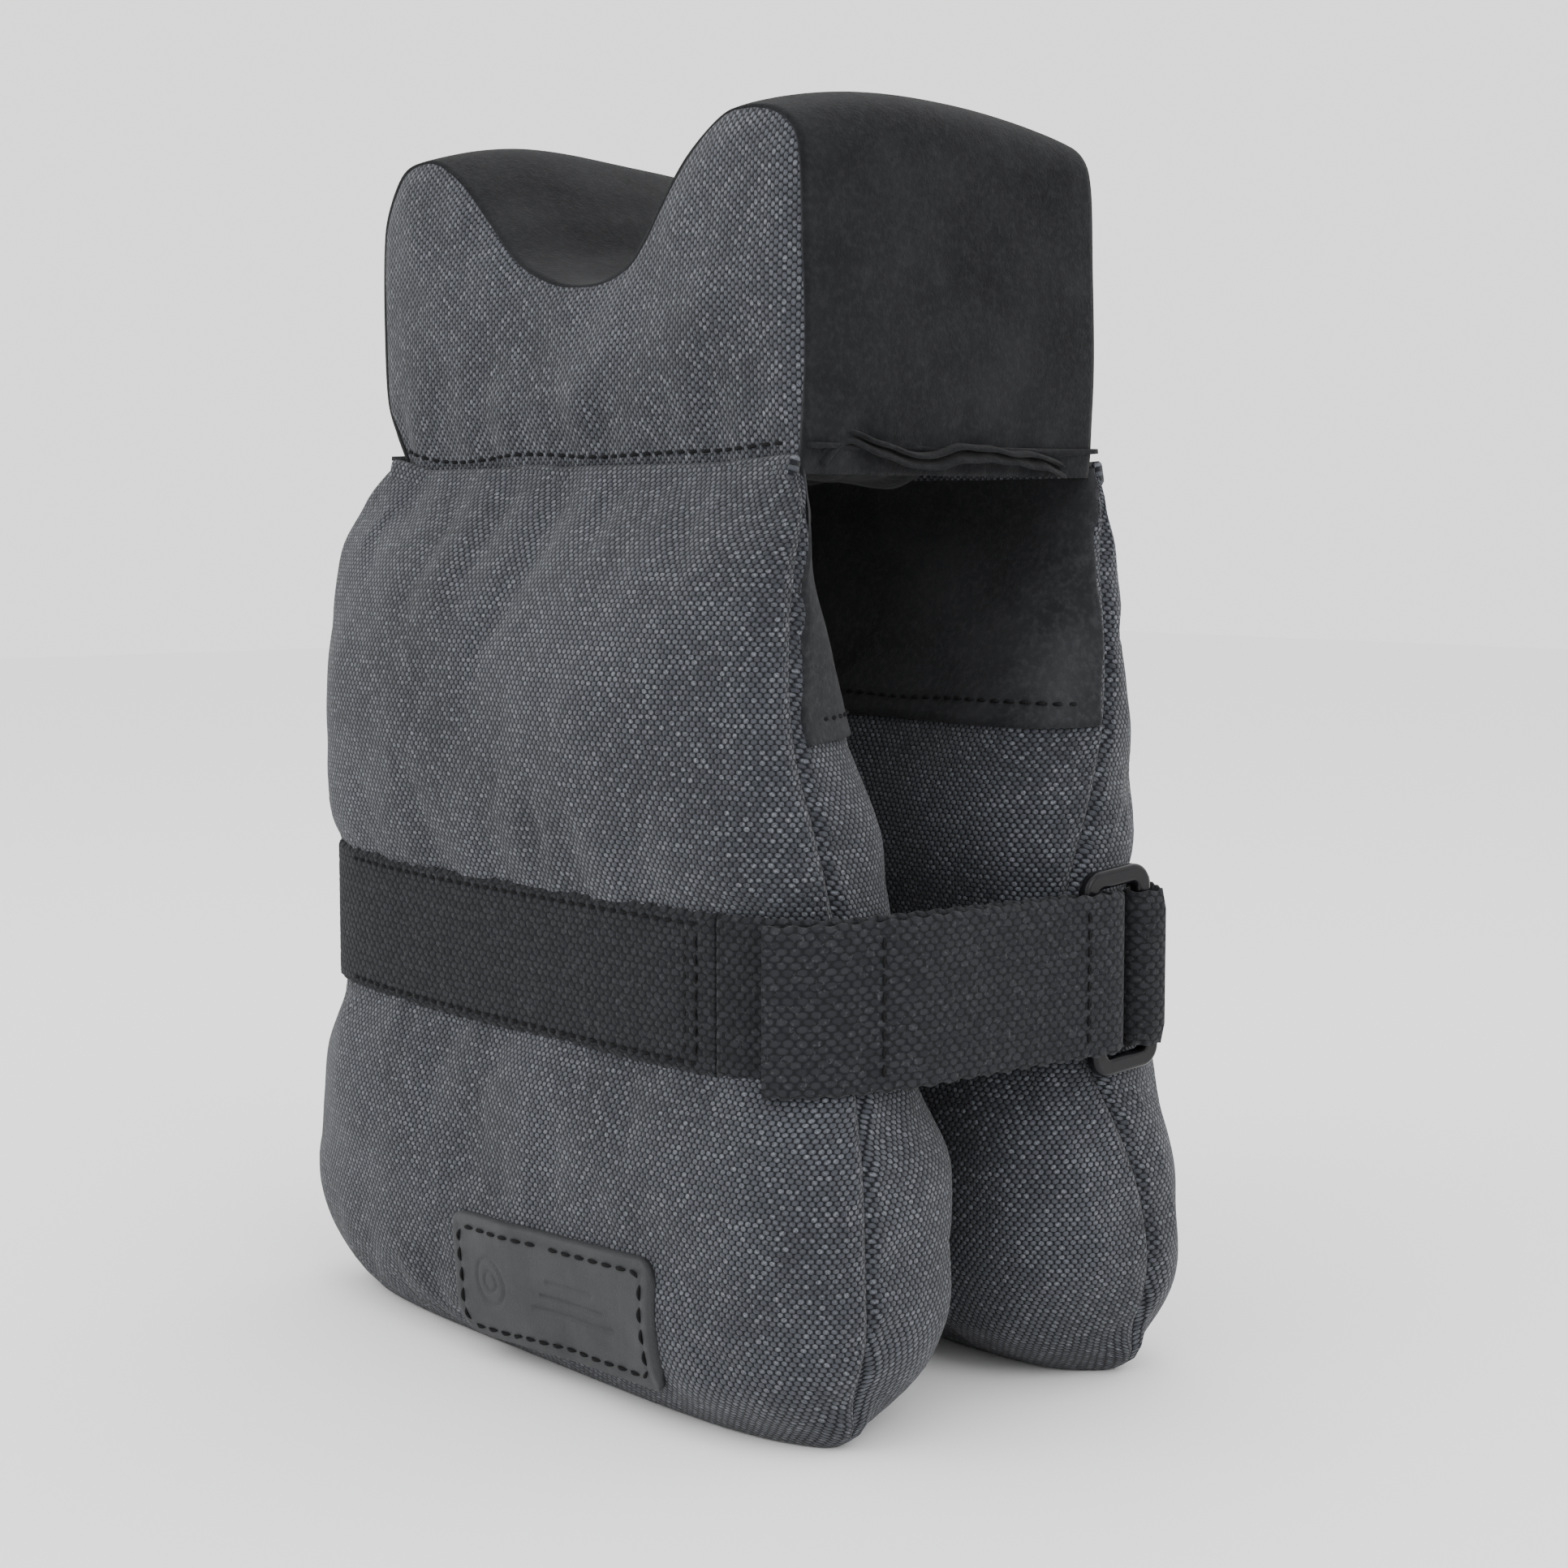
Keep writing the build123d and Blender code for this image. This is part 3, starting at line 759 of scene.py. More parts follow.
def settle(sheet, side, outer):
    """Fills the cloth with pressure for a moment, held at its seams, neck, foot and strap, so
    that it stretches into folds between them. No point moves more than CLOTH_REACH."""
    start = points_of(sheet)
    pinned = sheet.vertex_groups.new(name="held")
    z = start[:, 2]
    across = np.tile(np.arange(COLUMNS), len(start) // COLUMNS)
    seam = np.minimum(across, COLUMNS - 1 - across)
    held = np.clip(1 - seam / 5.0, 0, 1)
    held = np.maximum(held, smooth(z, NECK_Z - 5 * MM, NECK_Z - 2 * MM))
    held = np.maximum(held, 1 - smooth(z, 1 * MM, 5 * MM))
    if outer:
        strap = 1 - smooth(np.abs(z - STRAP_Z), WEBBING_WIDTH * 0.36, WEBBING_WIDTH * 0.52)
        held = np.maximum(held, strap)
        if side < 0:
            beside = np.abs(start[:, 0] - LABEL_MIDDLE.x) - LABEL_SIZE.x / 2
            above = np.abs(z - LABEL_MIDDLE.z) - LABEL_SIZE.z / 2
            held = np.maximum(held, 1 - smooth(np.maximum(beside, above), 0, 8 * MM))
    for i, weight in enumerate(held):
        if weight > 0.01:
            pinned.add([i], float(weight), "REPLACE")
    cloth = sheet.modifiers.new("cloth", "CLOTH")
    for key, value in CLOTH_SETTINGS.items():
        setattr(cloth.settings, key, value)
    cloth.settings.effector_weights.gravity = 0.0
    cloth.collision_settings.use_collision = False
    cloth.point_cache.frame_start, cloth.point_cache.frame_end = 1, CLOTH_FRAMES
    for step in range(1, CLOTH_FRAMES + 1):
        bpy.context.scene.frame_set(step)
    graph = bpy.context.evaluated_depsgraph_get()
    result = sheet.evaluated_get(graph).to_mesh()
    moved = np.zeros(len(result.vertices) * 3)
    result.vertices.foreach_get("co", moved)
    sheet.evaluated_get(graph).to_mesh_clear()
    sheet.modifiers.clear()
    sheet.vertex_groups.clear()
    bpy.context.scene.frame_set(1)
    delta = moved.reshape(-1, 3) - start
    size = np.linalg.norm(delta, axis=1)
    delta *= (CLOTH_REACH * np.tanh(size / CLOTH_REACH) / np.maximum(size, 1e-9))[:, None]
    end = start + delta
    end[:, 2] = np.maximum(end[:, 2], 0.2 * MM)
    set_points(sheet, end)


leg_trees = {}
for side, leg in SIDES:
    sheets = {}
    for outer, part in ((True, "outer"), (False, "inner")):
        sheet = leg_sheet(f"{leg}_leg_{part}", side, outer)
        settle(sheet, side, outer)
        sheets[part] = sheet
        leg_trees[leg, part] = tree_of(sheet)
    sand = closed_filling(f"{leg}_leg_sand", sheets.values(), 3.0 * MM)
    finish_piece(sand, SAND, [f"{leg}_leg_fill"], "saddle")
    for part, sheet in sheets.items():
        thicken(sheet, CANVAS_CLOTH)
        finish_piece(sheet, CANVAS, [f"{leg}_leg_{part}_panel"])
        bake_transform(sheet)


# A distance from the middle that is clear of the whole bag, where rays start
OUTSIDE_Y = 0.12


def on_leg(leg, part, x, z):
    """The point and outward normal of a leg's face at x and z."""
    side = -1 if leg == "front" else 1
    start = side * (OUTSIDE_Y if part == "outer" else 0.0)
    heading = -side if part == "outer" else side
    hit = leg_trees[leg, part].ray_cast(Vector((x, start, z)), Vector((0, heading, 0)))
    if hit[0] is None:
        return None
    normal = hit[1] if hit[1].y * heading < 0 else -hit[1]
    return np.array(hit[0]), np.array(normal)


# ---- linings on the inner faces
def lining_sheet(leg, side):
    """A suede sheet that follows the upper half of a leg's inner face from seam to seam."""
    columns, rows = 90, 30
    low_z, high_z = LINING_LOW.z + 0.5 * MM, NECK_Z + 1 * MM
    sheet, uv = np.zeros((rows, columns, 3)), []
    for r, share in enumerate(np.linspace(0, 1, rows)):
        z = low_z + share * (high_z - low_z)
        line, from_seam, _ = leg_section(min(z, NECK_Z), side, False, 4 * columns)
        inside = line[from_seam > 1.2 * MM]
        line = inside[np.linspace(0, len(inside) - 1, columns).round().astype(int)]
        lift = 0.80 * MM + 0.35 * MM * (1 - share) ** 8
        for c, (x, y) in enumerate(line):
            level = z + (1 - share) * 0.35 * MM * math.sin(12 * c / columns + side)
            place, normal = leg_trees[leg, "inner"].find_nearest(Vector((x, y, min(level, NECK_Z))))[:2]
            if normal.dot(Vector((0.35 * np.sign(x) * abs(x / HALF_LENGTH) ** 8, -side, 0))) < 0:
                normal = -normal
            sheet[r, c] = (place.x + normal.x * lift, place.y + normal.y * lift, level)
            uv.append((x, z))
    sheet = relax(sheet, 4)
    obj = make_mesh(f"{leg}_lining", sheet.reshape(-1, 3), grid_faces(rows, columns), uv)
    recalculate(obj)
    turn_to(obj, middle_face(obj), (0, -side, 0))
    return thicken(obj, 0.9 * MM)


for side, leg in SIDES:
    lining = lining_sheet(leg, side)
    finish_piece(lining, LINING_SUEDE_PAINTED_LIGHT, [f"{leg}_lining_patch"])
    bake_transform(lining)

    row_path, row_normal = [], []
    for x in np.linspace(-0.88 * HALF_LENGTH, 0.90 * HALF_LENGTH, 120):
        z = LINING_LOW.z + 5.0 * MM + 0.25 * MM * math.sin(x * 140)
        found = on_leg(leg, "inner", x, z)
        if found:
            row_path.append(found[0] + found[1] * 0.95 * MM)
            row_normal.append(found[1])
    seam = stitches(f"{leg}_lining_thread", row_path, row_normal, THREAD_PITCH)
    finish_piece(seam, THREAD, [f"{leg}_lining_stitches"], "saddle")


# ---- cushion
# The front outline from the left end of the neck, over both horns, to the right end of the
# neck: shares of the band's half length, and of its height above the underside
HORN_OUTLINE = [
    (-0.865, -0.080), (-0.880, -0.010), (-0.928, 0.080), (-0.975, 0.200), (-0.988, 0.442),
    (-0.984, 0.673), (-0.960, 0.800), (-0.880, 0.918), (-0.782, 0.950), (-0.680, 0.935),
    (-0.548, 0.850), (-0.425, 0.731), (-0.295, 0.605), (-0.183, 0.543), (-0.047, 0.502),
    (0.104, 0.500), (0.235, 0.543), (0.319, 0.625), (0.391, 0.717), (0.500, 0.835),
    (0.634, 0.925), (0.725, 0.943), (0.834, 0.928), (0.918, 0.876), (0.952, 0.780),
    (0.962, 0.543), (0.970, 0.282), (0.965, 0.080), (0.962, -0.020), (0.955, -0.080),
]
FACE_Y = FILL_HIGH.y + 1.0 * MM
BACK_SHARE = 0.95
BASE_Z, RISE = UNDER_LOW.z, BAND_HIGH.z - UNDER_LOW.z


def smooth_through(points, count):
    """A smooth line through points, with a number of steps between each two (Catmull and Rom's)."""
    p = np.array(points, float)
    p = np.vstack([2 * p[0] - p[1], p, 2 * p[-1] - p[-2]])
    t = np.linspace(0, 1, count, endpoint=False)[:, None]
    spans = []
    for a, b, c, d in zip(p, p[1:], p[2:], p[3:]):
        bend = (2 * a - 5 * b + 4 * c - d) * t**2 + (3 * b - a - 3 * c + d) * t**3
        spans.append(0.5 * (2 * b + (c - a) * t + bend))
    return np.vstack([*spans, p[-2]])


def cushion_line():
    """The cushion's front outline from the right end of the neck, over the horns, to the left end."""
    line = smooth_through(HORN_OUTLINE[::-1], 24)
    line = np.column_stack([line[:, 0] * BAND_HIGH.x, BASE_Z + line[:, 1] * RISE])
    return resample(line, 1.3 * MM)


OUTLINE = cushion_line()
OUTLINE_OUT = flat_normals(OUTLINE)


def patch(left, right, bottom, top):
    """A Coons patch between four lines; left and right run upwards, bottom and top rightwards."""
    n, m = len(left), len(bottom)
    v, u = np.linspace(0, 1, n)[:, None, None], np.linspace(0, 1, m)[None, :, None]
    ruled = (1 - u) * left[:, None] + u * right[:, None] + (1 - v) * bottom[None] + v * top[None]
    low = (1 - u) * bottom[0] + u * bottom[-1]
    high = (1 - u) * top[0] + u * top[-1]
    return ruled - (1 - v) * low - v * high


def cushion_face(name, side):
    """The canvas face of the cushion: a crowned sheet inside the outline."""
    level = BASE_Z + 0.86 * RISE
    a = int(np.argmax(OUTLINE[:, 1] > level))
    b = int(np.argmax(OUTLINE[::-1, 1] > level))
    rows, columns = 52, 130
    right = evenly(OUTLINE[: a + 1], rows)
    left = evenly(OUTLINE[::-1][: b + 1], rows)
    top = evenly(OUTLINE[::-1][b : len(OUTLINE) - a], columns)
    bottom = np.stack([np.linspace(left[0, 0], right[0, 0], columns), np.full(columns, left[0, 1])], 1)
    flat = patch(left, right, bottom, top).reshape(-1, 2)
    gap = np.min(np.linalg.norm(flat[:, None] - OUTLINE[None], axis=2), axis=1)
    x, z = flat[:, 0], flat[:, 1]
    neck = smooth(z, BASE_Z - 4 * MM, BASE_Z + 12 * MM)
    crown = (1 - np.exp(-gap / (9 * MM))) * (0.25 + 0.75 * neck) * 4.2 * MM
    crown += smooth(gap, 0, 14 * MM) * neck * 0.55 * MM * ripple(x, z, 48 * MM, 21 + side)
    gather = bump(z, BASE_Z + 4 * MM, 11 * MM) * smooth(gap, 0, 6 * MM)
    crown += gather * 0.55 * MM * ripple(x, z * 0.2, 19 * MM, 23 + side)
    crown += smooth(gap, 0, 5 * MM) * 0.22 * MM * ripple(x, z, 15 * MM, 25 + side)
    y = side * ((FACE_Y - 1.0 * MM) * (BACK_SHARE if side > 0 else 1.0) + crown)
    obj = make_mesh(name, np.column_stack([x, y, z]), grid_faces(rows, columns), np.column_stack([x, z]))
    turn_to(obj, middle_face(obj), (0, side, 0))
    return obj


def suede_band():
    """The suede that runs up one end, over both horns and down the other end."""
    shares = np.linspace(-1, 1, 60)
    length, height = line_length(OUTLINE), OUTLINE[:, 1]
    upwards = np.clip(OUTLINE_OUT[:, 1], 0, 1) ** 2
    notch = bump(OUTLINE[:, 0], 0, 24 * MM)
    low = 1 - smooth(height, BASE_Z - 3 * MM, BASE_Z + 14 * MM)
    points, uv = [], []
    for share in shares:
        edge = abs(share)
        crown = 0.35 * MM + 0.5 * MM * (1 - edge**10) + 0.4 * MM * (1 - edge**2.5)
        crown = crown + upwards * 3.9 * MM * (1 - share**2) * (1 - 0.35 * share)
        crown = (crown - notch * 2.6 * MM * (1 - share**2)) * (1 - 0.7 * low)
        wave = 0.35 * MM * ripple(length, share * 41 * MM, 44 * MM, 31)
        wave += 0.45 * MM * low * ripple(length * 0.2, share * 41 * MM, 15 * MM, 33)
        line = OUTLINE + OUTLINE_OUT * (crown + wave * (1 - edge**6))[:, None]
        depth = np.full(len(line), share * (FACE_Y - 0.6 * MM) * (BACK_SHARE if share > 0 else 1.0))
        points.append(np.column_stack([line[:, 0], depth, line[:, 1]]))
        uv.append(np.column_stack([length, depth]))
    faces = grid_faces(len(shares), len(OUTLINE))
    obj = make_mesh("cushion_band", np.concatenate(points), faces, np.concatenate(uv))
    turn_to(obj, max(obj.data.polygons, key=lambda face: face.center.z), (0, 0, 1))
    return obj


def ceiling():
    """The cushion's suede underside, which hangs in lumps between the legs."""
    rows, columns = 50, 90
    y, x = np.meshgrid(np.linspace(-1, 1, rows), np.linspace(-1, 1, columns), indexing="ij")
    half_x, half_y = UNDER_HIGH.x + 1 * MM, UNDER_HIGH.y - 1.5 * MM
    inside = (1 - np.abs(y) ** 4) * (1 - np.abs(x) ** 12)
    hang = inside * (4.0 * MM + 1.8 * MM * ripple(x * half_x, y * half_y, 34 * MM, 41))
    hang += inside * 0.7 * MM * ripple(x * half_x, y * half_y, 13 * MM, 42)
    z = UNDER_LOW.z - 0.5 * MM - np.clip(hang, 0, 9 * MM)
    points = np.stack([x * half_x, y * half_y, z], -1).reshape(-1, 3)
    obj = make_mesh("cushion_underside", points, grid_faces(rows, columns), points[:, :2])
    turn_to(obj, obj.data.polygons[0], (0, 0, -1))
    return obj


def cushion_filling(inset):
    """A closed body of sand just inside the cushion's cloth, domed at both faces."""
    rows, along, across = 28, 150, 60
    bottom = BASE_Z + 1 * MM
    inner = evenly(OUTLINE - OUTLINE_OUT * inset, along)
    inner[:, 1] = np.maximum(inner[:, 1], bottom)
    floor_x = np.linspace(inner[-1, 0], inner[0, 0], across)[1:-1]
    around = np.vstack([inner, np.column_stack([floor_x, np.full(across - 2, bottom)])])
    centre = np.array([0.0, BASE_Z + 0.35 * RISE])
    points = []
    for share in np.linspace(-1, 1, rows):
        line = centre + (around - centre) * (1 - 0.10 * abs(share) ** 8)
        points.append(np.column_stack([line[:, 0], np.full(len(line), share * (FACE_Y - inset)), line[:, 1]]))
    obj = make_mesh("cushion_sand", np.concatenate(points), tube_faces(rows, len(around)))
    recalculate(obj)
    return obj


cushion_faces = {side: cushion_face(f"cushion_{name}", side) for side, name in SIDES}
cushion_trees = {side: tree_of(obj) for side, obj in cushion_faces.items()}
band, underside = suede_band(), ceiling()
cushion_sand = cushion_filling(3.2 * MM)
for obj in cushion_faces.values():
    thicken(obj, CANVAS_CLOTH)
thicken(band, 1.2 * MM)
thicken(underside, 1.0 * MM)
for obj, material, slot, node, fill in (
    (cushion_sand, SAND, "sand", "cushion_fill", 0.9),
    (cushion_faces[-1], CANVAS_TURNED, "canvas", "cushion_front_panel", 0.9),
    (cushion_faces[1], CANVAS_TURNED, "canvas", "cushion_back_panel", 0.9),
    (band, SUEDE, "suede", "cushion_suede_band", 0.9),
    (underside, SUEDE, "suede", "cushion_underside_panel", 0.5),
):
    finish_piece(obj, material, [node], "cushion")


# ---- hems and lips of the neck
for side, name in SIDES:
    x = np.linspace(HEM_LOW.x + 3.5 * MM, HEM_HIGH.x - 1 * MM, 160)
    wave = 0.5 * MM * ripple(x, 0 * x, 46 * MM, 51 + side)
    y = side * (abs(HEM_LOW.y) - 1.8 * MM + 0.35 * MM * ripple(x, 0 * x, 27 * MM, 53 + side))
    wave = wave + 2.2 * MM * smooth(-x, 52 * MM, 74 * MM) + 1.0 * MM * smooth(x, 50 * MM, 74 * MM) - 0.6 * MM
    path = np.column_stack([x, y, NECK_Z - 0.6 * MM + wave])
    hem = ribbon(f"{name}_hem_fold", path, (0, side * -0.22, 1), 5.2 * MM, 2.3 * MM, (0, side, 0))
    finish_piece(hem, CANVAS, [f"{name}_hem"])
    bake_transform(hem)

    row_path, row_normal = [], []
    for px, pw in zip(x[4:-4], wave[4:-4]):
        level = NECK_Z + 4.3 * MM + pw
        hit = cushion_trees[side].ray_cast(Vector((px, side * OUTSIDE_Y, level)), Vector((0, -side, 0)))
        if hit[0]:
            row_path.append(np.array(hit[0]) + np.array([0, side * 0.12 * MM, 0]))
            row_normal.append(np.array([0, side, 0.0]))
    seam = stitches(f"{name}_hem_thread", row_path, row_normal, 3.8 * MM)
    finish_piece(seam, THREAD, [f"{name}_hem_stitches"], "cushion")

# How the raw edge waves up and down along the end of the cushion, from front to back
LIP_WAVE = [
    (-0.038, -0.0028), (-0.031, 0.0036), (-0.022, 0.0014), (-0.013, -0.0008),
    (0.000, 0.0009), (0.012, 0.0005), (0.024, -0.0007), (0.038, -0.0032),
]
for end, name in ((-1, "left"), (1, "right")):
    lips = []
    for layer, (reach, drop) in enumerate(((3.4 * MM, 0.0), (4.0 * MM, 1.5 * MM))):
        y = np.linspace(5.5 * MM - UNDER_HIGH.y, UNDER_HIGH.y - 11 * MM, 150)
        wave = curve_through(LIP_WAVE, y)[0]
        wave = wave + 0.22 * MM * ripple(y, 0 * y, 12 * MM, 61 + layer + 2 * end)
        tuck = 3.0 * MM * smooth(np.abs(y), UNDER_HIGH.y - 20 * MM, UNDER_HIGH.y - 9 * MM)
        x = end * (BAND_HIGH.x - 4.0 * MM + reach / 2 - tuck + 0.3 * MM * np.sin(y / (5 * MM) + layer))
        path = np.column_stack([x, y, BASE_Z - 0.6 * MM - drop + wave])
        lean = (end, 0, -0.25 - 0.3 * layer)
        lips.append(ribbon(f"lip_{name}_{layer}", path, lean, reach + 3.0 * MM, 0.95 * MM, (0, 0, 1)))
    both = join(f"{name}_lips", lips)
    finish_piece(both, SUEDE, [f"{name}_seam_lips"], "cushion")


# ---- strap
# The side of the strap that is seen at the ring's end of the bag
SEEN = np.array([1.0, -0.6, 0.0])
SEWN_END_X = WEB_HIGH.x


def route_normals(route, out):
    """Outward normals of a horizontal route."""
    normal = np.column_stack([flat_normals(route), np.zeros(len(route))])
    return normal * np.sign(np.sum(normal * np.asarray(out), axis=1))[:, None]


def at_strap(xy):
    """Points of a horizontal route, at the height of the strap."""
    return np.column_stack([xy, np.full(len(xy), STRAP_Z)])


def strap_band(name, path, out, relief=0.0, wobble=0.0, width=WEBBING_WIDTH, thickness=WEBBING):
    """A band of webbing or tape that stands on edge along a path."""
    return ribbon(name, path, (0, 0, 1), width, thickness, out, relief, wobble)


def half_turn(x, y, radius, way):
    """Half a circle from x to x + 2 radius that bulges to y, towards +Y or -Y by the sign of way."""
    angles = np.linspace(-math.pi / 2, math.pi / 2, 26)
    return np.column_stack([x + radius * (1 + np.sin(angles)), y - way * radius * (1 - np.cos(angles))])


def cross_row(name, place, normal, share=0.40):
    """A row of stitches up and down the webbing through a place on its face."""
    z = np.linspace(-share, share, 20) * WEBBING_WIDTH
    path = np.asarray(place, float) + np.column_stack([0 * z, 0 * z, z])
    return stitches(name, path, np.tile(normal, (20, 1)), THREAD_PITCH)


def outer_line(side):
    """The strap's route on a leg's outer face at strap height, from left end to right end."""
    line = leg_section(STRAP_Z, side, True, 400)[0]
    normal = flat_normals(line)
    normal *= np.sign(normal[200, 1] * side)
    return line + normal * (WEBBING / 2 + 0.25 * MM)


# Main webbing: round the left end, from its sewn end on the front leg to the keeper's on the back leg
front_line, back_line = outer_line(-1), outer_line(1)
corner_start = front_line[:, 0] > SEWN_END_X
main_route = np.vstack([front_line[~corner_start][::-1], back_line[back_line[:, 0] < KEEPER_LOW.x + 2 * MM]])
main_route = resample(main_route, ROUTE_STEP)
main_path = at_strap(main_route)
main_path[:, 2] += 1.2 * MM * smooth(-main_route[:, 0], 0.02, 0.088)
main_out = main_path * (1, 1, 0)
main = strap_band("webbing_round", main_path, main_out, 0.16 * MM, 0.25 * MM)
finish_piece(main, WEB, ["main_webbing"], "saddle")

# Standing strap: from the sewn end, round the corner of the front leg and to the ring's near bar
fold_outer_x = STAND_HIGH.x - WEBBING / 2
fold_apex_y = STAND_HIGH.y - WEBBING / 2
stand_x = RING_LOW.x - WEBBING / 2 - 0.9 * MM
fold_radius = (fold_outer_x - stand_x) / 2
fold_y = fold_apex_y - fold_radius
stand_corner = front_line[corner_start & (front_line[:, 1] < -0.044)]
straight = [(float(front_line[:, 0].max()) + 0.3 * MM, -0.036), (stand_x, fold_y)]
fold = half_turn(stand_x, fold_apex_y, fold_radius, 1)
half_fold = len(fold) // 2
standing_route = resample(np.vstack([stand_corner, straight, fold[: half_fold + 1]]), ROUTE_STEP)
standing = strap_band("webbing_standing", at_strap(standing_route), SEEN, 0.16 * MM, 0.2 * MM)
finish_piece(standing, WEB, ["standing_strap"], "saddle")

# Tail: from the fold, back over the standing strap to the front leg's near corner
tip_gap = 3.7 * MM
tip = stand_corner[stand_corner[:, 0] > 0.0765]
tip_out = flat_normals(tip)
tip_out *= -np.sign(tip_out[0, 1])
tail_straight = [(fold_outer_x, fold_y), (stand_x + tip_gap + 1.2 * MM, -0.030)]
tail_route = np.vstack([fold[half_fold:], tail_straight, (tip + tip_out * tip_gap)[::-1]])
tail_route = relax(resample(tail_route, ROUTE_STEP), 30)
tail_u = line_length(tail_route)
tail_end = tail_u[-1]
tail_thickness = WEBBING + 1.3 * MM * smooth(tail_u, tail_end - 20 * MM, tail_end - 16 * MM)
tail_path = at_strap(tail_route)
tail_path[:, 2] += 0.8 * MM * np.sin(tail_u / tail_end * math.pi) - 1.6 * MM * (tail_u / tail_end)
tail_width = WEBBING_WIDTH * 1.03
tail = strap_band("webbing_tail", tail_path, SEEN, 0.10 * MM, 0.3 * MM, tail_width, tail_thickness)
finish_piece(tail, TAIL_WEB_PAINTED_LIGHT, ["strap_tail"])
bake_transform(tail)

# Hook tape under the tail's tip, and loop tape on the standing strap
TAPE_WIDTH, TAPE_THICKNESS = 28 * MM, 0.8 * MM
tail_normal = route_normals(tail_route, SEEN)
hooked = (tail_u > max(16 * MM, tail_end - 46 * MM)) & (tail_u < tail_end - 2 * MM)
hook_path = (tail_path - tail_normal * (WEBBING / 2 + 0.55 * MM))[hooked]
hook = strap_band("hook_tape", hook_path, SEEN, width=TAPE_WIDTH, thickness=TAPE_THICKNESS)
finish_piece(hook, TAPE, ["hook_patch"], "tail")
stand_normal = route_normals(standing_route, SEEN)
looped = (standing_route[:, 1] < -0.010) & (standing_route[:, 0] > 0.079)
loop_path = (at_strap(standing_route) + stand_normal * (WEBBING / 2 + 0.45 * MM))[looped]
loop = strap_band("loop_tape", loop_path, stand_normal[looped], width=TAPE_WIDTH, thickness=TAPE_THICKNESS)
finish_piece(loop, TAPE, ["loop_patch"], "saddle")

# Stitches of the tail
rows_made = []
for distance in (14 * MM, tail_end - 23 * MM):
    i = int(np.argmin(np.abs(tail_u - distance)))
    place = tail_path[i] + tail_normal[i] * (tail_thickness[i] / 2 + 0.12 * MM)
    rows_made.append(cross_row(f"tail_row_{i}", place, tail_normal[i], 0.44))
tail_thread = join("tail_thread", rows_made)
finish_piece(tail_thread, THREAD, ["tail_stitches"])
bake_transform(tail_thread)

# Stitches of the main webbing: along both edges, and two rows across its sewn end
main_normal = route_normals(main_route, main_out)
main_face = main_path + main_normal * (WEBBING / 2 + 0.16 * MM)
rows_made = []
sewn = (main_route[:, 1] < 0) & (main_route[:, 0] > -0.070) & (main_route[:, 0] < SEWN_END_X - 4 * MM)
for level in (-0.43, 0.43):
    path = main_face[sewn] + np.array([0, 0, level * WEBBING_WIDTH])
    rows_made.append(stitches(f"web_row_{level}", path, main_normal[sewn], THREAD_PITCH))
i = int(np.argmin(np.abs(main_route[:, 0] - (SEWN_END_X - 5 * MM)) + (main_route[:, 1] > 0)))
for step in (0, 3.2 * MM):
    rows_made.append(cross_row(f"web_end_{step}", main_face[i] - (step, 0, 0), main_normal[i]))
web_thread = join("webbing_thread", rows_made)
finish_piece(web_thread, THREAD, ["webbing_stitches"], "saddle")

# Keeper: a doubled webbing end on the back leg, looped round the ring's far bar
outer_x = KEEPER_HIGH.x - WEBBING / 2
hugging = back_line[(back_line[:, 0] > KEEPER_LOW.x) & (back_line[:, 1] > 0.0455)]
hugging_normal = route_normals(hugging, (1.0, 1.0, 0))[:, :2]
second_layer = hugging + hugging_normal * (WEBBING + 0.35 * MM)
loop_arc = half_turn(stand_x, KEEPER_LOW.y + WEBBING / 2, (outer_x - stand_x) / 2, -1)
inner_run, outer_run = [(stand_x - 0.4 * MM, 0.0395)], [(outer_x - 0.3 * MM, 0.0385)]
keeper_route = np.vstack([hugging, inner_run, loop_arc, outer_run, second_layer[::-1]])
keeper_route = relax(resample(keeper_route, ROUTE_STEP), 6)
keeper = strap_band("keeper_loop", at_strap(keeper_route), (1.0, 1.0, 0), wobble=0.2 * MM)
finish_piece(keeper, WEB, ["ring_keeper"], "saddle")
keeper_face_y = float(back_line[:, 1].max()) + WEBBING * 1.5 + 0.25 * MM
rows_made = []
for x in (KEEPER_LOW.x + 5 * MM, KEEPER_LOW.x + 22 * MM):
    rows_made.append(cross_row(f"keeper_row_{x}", (x, keeper_face_y, STRAP_Z), (0, 1.0, 0)))
keeper_thread = join("keeper_thread", rows_made)
finish_piece(keeper_thread, THREAD, ["keeper_stitches"], "saddle")

# Ring: the CAD shape with its enamel
ring_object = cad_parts["ring"]
ring_object.data.materials.clear()
ring_object.data.materials.append(ENAMEL)


# ---- leather label
LABEL_CORNER, LABEL_TILT = 4.5 * MM, math.radians(2.0)
LABEL_THICKNESS = LABEL_SIZE.y * 0.8


def label_place(u, v):
    """Where a point of the flat label lies on the front leg: its x and z."""
    x = LABEL_MIDDLE.x + u * math.cos(LABEL_TILT) - v * math.sin(LABEL_TILT)
    return x, LABEL_MIDDLE.z + u * math.sin(LABEL_TILT) + v * math.cos(LABEL_TILT)


